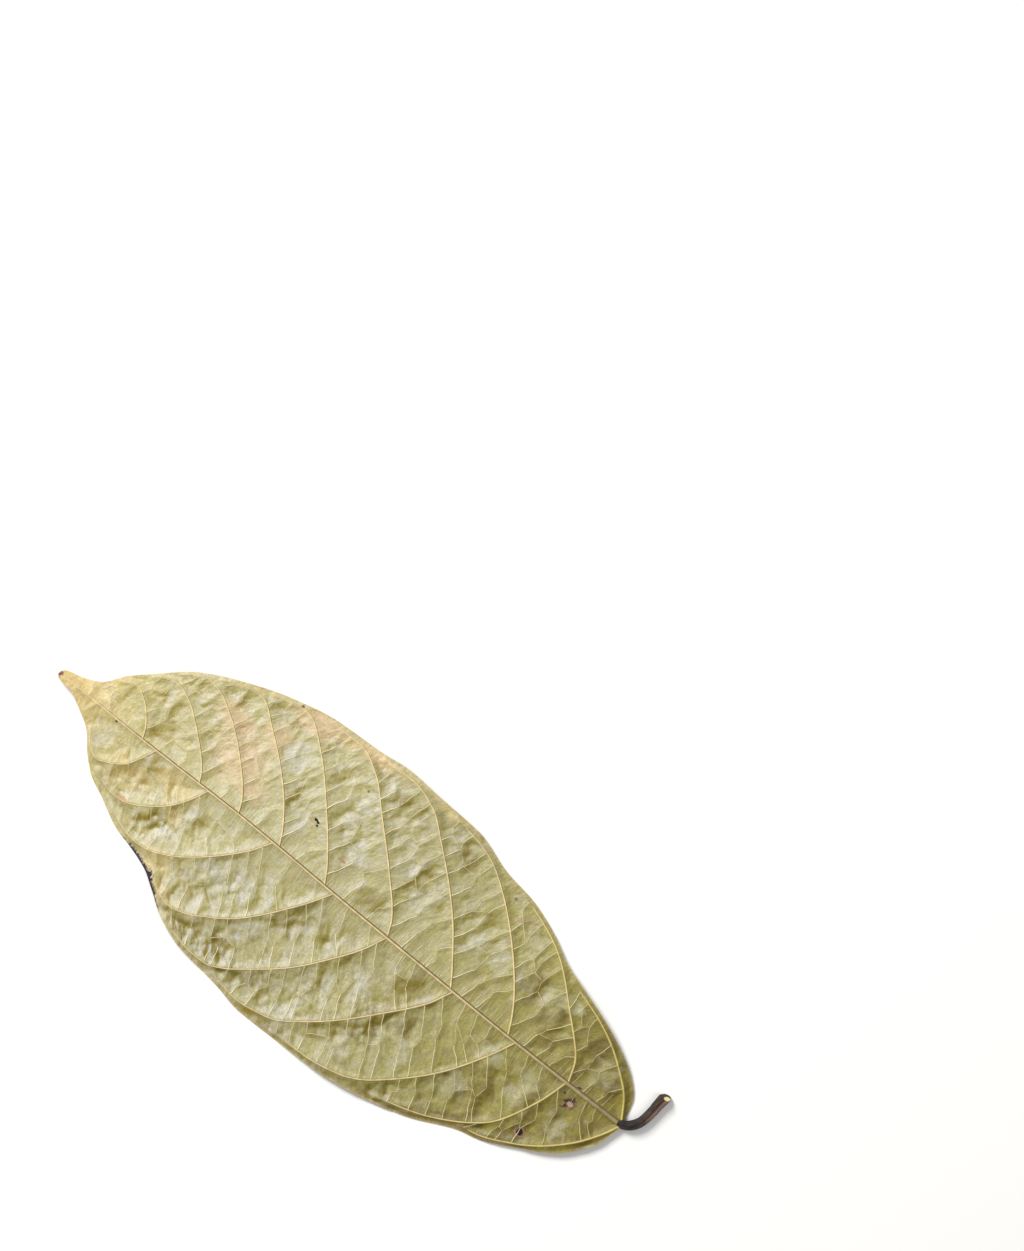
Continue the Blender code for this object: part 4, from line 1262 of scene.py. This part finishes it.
def sweep(paths, half_width, half_height, sides, fold=0):
    """Carries an ellipse along each path: a ring's point is the centre, plus half the width
    times the cosine across, plus half the height times the sine upwards. Ends are closed.
    The UV is the way along in mm and the share of a turn; on the caps it is minus one."""
    way = np.gradient(paths, axis=1)
    way /= np.linalg.norm(way, axis=-1, keepdims=True)
    across = np.stack([-way[..., 1], way[..., 0], 0 * way[..., 0]], axis=-1)
    across /= np.linalg.norm(across, axis=-1, keepdims=True)
    up = np.cross(way, across)
    angle = 2 * np.pi * (np.arange(sides) + 0.5) / sides
    rings = paths[:, :, None] + (
        (half_width[..., None] * (1 + fold) * np.cos(angle))[..., None] * across[:, :, None]
        + (half_height[..., None] * (1 + fold) * np.sin(angle))[..., None] * up[:, :, None]
    )
    count, length = paths.shape[:2]
    spot = np.arange(count * length * sides).reshape(count, length, sides)
    turned = np.roll(spot, -1, axis=2)
    quads = np.stack([spot[:, :-1], spot[:, 1:], turned[:, 1:], turned[:, :-1]], axis=-1).reshape(-1, 4)
    caps = spot[:, 0].tolist() + spot[:, -1, ::-1].tolist()
    run = np.linalg.norm(np.diff(paths, axis=1), axis=-1)
    run = np.concatenate([np.zeros((count, 1)), np.cumsum(run, axis=1)], axis=1)
    turn = np.arange(sides) / sides
    start, end, first, last = np.broadcast_arrays(run[:, :-1, None], run[:, 1:, None], turn, turn + 1 / sides)
    uv = np.stack([start, first, end, first, end, last, start, last], axis=-1).reshape(-1, 2)
    cap_uv = np.full((2 * count * sides, 2), -1)
    return rings.reshape(-1, 3), quads.tolist() + caps, np.concatenate([uv, cap_uv])


rib_s = np.linspace(0.0, MIDRIB_END, MIDRIB_RINGS)
points, faces, uv = sweep(
    lying(np.stack([rib_s, midrib_at(rib_s)], axis=1)[None], MIDRIB_SINK),
    smooth_curve(MIDRIB_HALF_WIDTH, rib_s)[None], smooth_curve(MIDRIB_RISE, rib_s)[None], MIDRIB_SIDES,
)
add_piece("midrib", points, faces, midrib_finish, uv)

# %% Side veins
# Half the width and half the height of a vein at its root and its end
SIDE_HALF_WIDTH = (0.34, 0.2)
SIDE_RISE = (0.34, 0.18)
SIDE_TAPER = 1.3
# Each vein sinks into the blade at its end: where that starts, and how deep in mm
SIDE_END = (0.8, 0.3)
# Veins that leave the midrib further up are thinner: places on it, and their share
SLENDER = ((0, 100, 150, 180), (1.0, 0.95, 0.9, 0.85))
VEIN_RINGS, VEIN_SIDES, VEIN_SINK = 80, 8, 0.06
side_paths = lying([even_line(line, VEIN_RINGS) for line in side_lines], VEIN_SINK)
share = np.linspace(0, 1, VEIN_RINGS)[None] ** SIDE_TAPER
side_paths[..., 2] -= SIDE_END[1] * np.clip((share - SIDE_END[0]) / (1 - SIDE_END[0]), 0, 1) ** 2
slender = np.interp(side_paths[:, :1, 0], *SLENDER)
points, faces, uv = sweep(
    side_paths,
    slender * (SIDE_HALF_WIDTH[0] + (SIDE_HALF_WIDTH[1] - SIDE_HALF_WIDTH[0]) * share),
    slender * (SIDE_RISE[0] + (SIDE_RISE[1] - SIDE_RISE[0]) * share),
    VEIN_SIDES,
)
add_piece("side_veins", points, faces, vein_finish, uv)

# %% Net of small veins
RUNG_POINTS, LINK_POINTS, NET_SIDES = 12, 5, 5
# Half the width at the root and the end, in mm, and the height as a share of it
RUNG_HALF_WIDTH = (0.2, 0.14)
LINK_HALF_WIDTH = (0.1, 0.1)
COMB_HALF_WIDTH = (0.1, 0.03)
NET_RISE = 0.8
RUNG_SINK, LINK_SINK, COMB_SINK = 0.04, 0.03, 0.02
# Each small vein stands out by its own share
NET_SHARE = (0.75, 1.15)
NET_SHARE_SEED = 8
NET_FADE = ((0, 0.9), (60, 0.95), (110, 1.0), (150, 0.85), (195, 0.7))


def small_sweep(name, lines, count, half_width, sink):
    """Small veins of one kind, thinner towards the tip."""
    share = np.random.default_rng(NET_SHARE_SEED).uniform(*NET_SHARE, (len(lines), 1))
    paths = lying([even_line(line, count) for line in lines], sink)
    fade = smooth_curve(NET_FADE, paths[..., 0].mean(axis=1))
    width = np.linspace(*half_width, count)[None] * fade[:, None] * share
    points, faces, uv = sweep(paths, width, NET_RISE * width, NET_SIDES)
    add_piece(name, points, faces, net_finish, uv)


small_sweep("small_veins", rungs, RUNG_POINTS, RUNG_HALF_WIDTH, RUNG_SINK)
small_sweep("linking_veins", links, LINK_POINTS, LINK_HALF_WIDTH, LINK_SINK)
small_sweep("fine_ribs", fine_ribs, COMB_POINTS, COMB_HALF_WIDTH, COMB_SINK)

# %% [markdown]
# ## Stalk
#
# The stalk grows out of the midrib, turns sideways at once and ends in a slanting cut. It
# dried harder than the blade: its bark shrank into ribs along its length. It is the same
# sweep as a vein, with more sides and a fold that changes round the ring and along the way.

# %% Build the stalk
# Middle s and v, height of the middle, radius
STALK = (
    (2.2, 0.35, 1.1, 0.4), (1.0, 0.4, 1.5, 1.05), (-0.3, 0.8, 1.7, 1.28), (-2.2, 2.2, 1.75, 1.4),
    (-3.7, 4.9, 1.65, 1.42), (-4.3, 8.6, 1.55, 1.45), (-4.4, 11.6, 1.6, 1.55), (-4.55, 14.1, 1.75, 1.68),
)
STALK_RINGS, STALK_SIDES = 96, 40
# Folds of the bark: how many round the ring, their depth as a share of the radius, a turn
STALK_FOLDS = ((7, 0.05, 0.0), (11, 0.035, 1.0), (17, 0.02, 2.0))
# Dents: depth, length in mm, how fast they change round the ring, and seed
STALK_DENTS = (0.05, 2.2, 1.7, 41)
# How far the cut leans along the stalk, sideways and up, in radii
CUT_SLOPE, CUT_TILT = 0.45, 0.6
knots = np.array(STALK)
run = travelled(knots[:, :3])
at = np.linspace(0, run[-1], STALK_RINGS)
path = np.stack([smooth_curve(np.c_[run, column], at) for column in knots.T], axis=1)
around = 2 * np.pi * (np.arange(STALK_SIDES) + 0.5) / STALK_SIDES
fold = sum(depth * np.cos(count * around + turn) for count, depth, turn in STALK_FOLDS)[None, None]
dent, length, round_ring, seed = STALK_DENTS
fold = fold + dent * noise(at[None, :, None] / length, np.cos(around)[None, None] * round_ring, seed)
points, faces, uv = sweep(path[None, :, :3], path[None, :, 3], path[None, :, 3], STALK_SIDES, fold)
end_way = path[-1, :3] - path[-2, :3]
end_way /= np.linalg.norm(end_way)
slant = path[-1, 3] * (CUT_SLOPE * np.cos(around) - CUT_TILT * np.sin(around))
points[-STALK_SIDES:] += slant[:, None] * end_way
# Nothing goes below the surface that the leaf lies on
points[:, 2] = np.maximum(points[:, 2], 0)
stalk = add_piece("stalk", points, faces, stalk_finish, uv)
stalk.data.set_sharp_from_angle(angle=SHARP)

# %% [markdown]
# ## Floor, light and camera
#
# The leaf was photographed from straight above on white, with soft light from the upper
# left, so the floor is a pale card and the camera looks straight down, turned so that the
# tip points to the upper left. A sun lamp would draw hard shadows in every wrinkle, so the
# key is a softbox, and a larger, weaker one on the other side keeps the dark flanks open.

# %% Floor
# Half the width of the card, in metres
FLOOR_HALF = 3.0
corners = [(x * FLOOR_HALF, y * FLOOR_HALF, 0) for x, y in ((-1, -1), (1, -1), (1, 1), (-1, 1))]
floor_mesh = bpy.data.meshes.new("floor")
floor_mesh.from_pydata(corners, [], [(0, 1, 2, 3)])
floor = bpy.data.objects.new("floor", floor_mesh)
bpy.context.scene.collection.objects.link(floor)
floor_mesh.materials.append(new_finish("pale_card", Roughness=0.9, Base_Color=linear("#f4f3f0"))[0])
print("floor, m wide:", 2 * FLOOR_HALF)

# %% Lamps and the room
# The photo's up and right as (x, y) in the leaf's frame
PHOTO_UP = np.array([0.7773, 0.6291])
PHOTO_RIGHT = np.array([0.6291, -0.7773])
ROOM_LIGHT = 0.37


def soft_light(name, toward, height, distance, size, watts):
    """A square area light that looks at the leaf: toward is its way as (photo right, photo
    up), height its angle above the floor in degrees, distance and size are in metres."""
    lamp = bpy.data.lights.new(name, "AREA")
    lamp.shape = "SQUARE"
    lamp.size = size
    lamp.energy = watts
    item = bpy.data.objects.new(name, lamp)
    level = toward[0] * PHOTO_RIGHT + toward[1] * PHOTO_UP
    level = level / np.linalg.norm(level) * np.cos(np.radians(height))
    way = Vector((*level, np.sin(np.radians(height))))
    item.location = way * distance
    item.rotation_euler = way.to_track_quat("Z", "Y").to_euler()
    bpy.context.scene.collection.objects.link(item)


soft_light("key_softbox", toward=(-0.57, 0.82), height=42, distance=1.6, size=0.6, watts=28.5)
soft_light("fill_softbox", toward=(0.8, -0.4), height=60, distance=1.8, size=1.2, watts=6)
world = bpy.data.worlds.new("pale_room")
world.use_nodes = True
world.node_tree.nodes["Background"].inputs["Color"].default_value = (1, 1, 1, 1)
world.node_tree.nodes["Background"].inputs["Strength"].default_value = ROOM_LIGHT
bpy.context.scene.world = world
bpy.context.scene.view_settings.view_transform = "Standard"
print("lamps:", [lamp.name for lamp in bpy.data.lights])

# %% Camera
# What the middle of the photo shows (s, v), and what its height spans, all in mm
PHOTO_MIDDLE = (114.07, 91.55)
FRAME_HEIGHT = 356.5
# The camera hangs this far above the middle height of the leaf
CAMERA_HEIGHT = 1000.0
LEAF_HEIGHT = 3.0
SENSOR = 36.0
lens = bpy.data.cameras.new("camera")
lens.sensor_width = SENSOR
lens.lens = SENSOR * CAMERA_HEIGHT / FRAME_HEIGHT
camera = bpy.data.objects.new("camera", lens)
camera.location = (
    (PHOTO_MIDDLE[1] - V_SHIFT) * MM, (PHOTO_MIDDLE[0] - S_SHIFT) * MM, (CAMERA_HEIGHT + LEAF_HEIGHT) * MM
)
camera.rotation_euler = (0, 0, -np.arctan2(PHOTO_UP[0], PHOTO_UP[1]))
bpy.context.scene.collection.objects.link(camera)
bpy.context.scene.camera = camera
print("lens, mm:", round(lens.lens, 1))
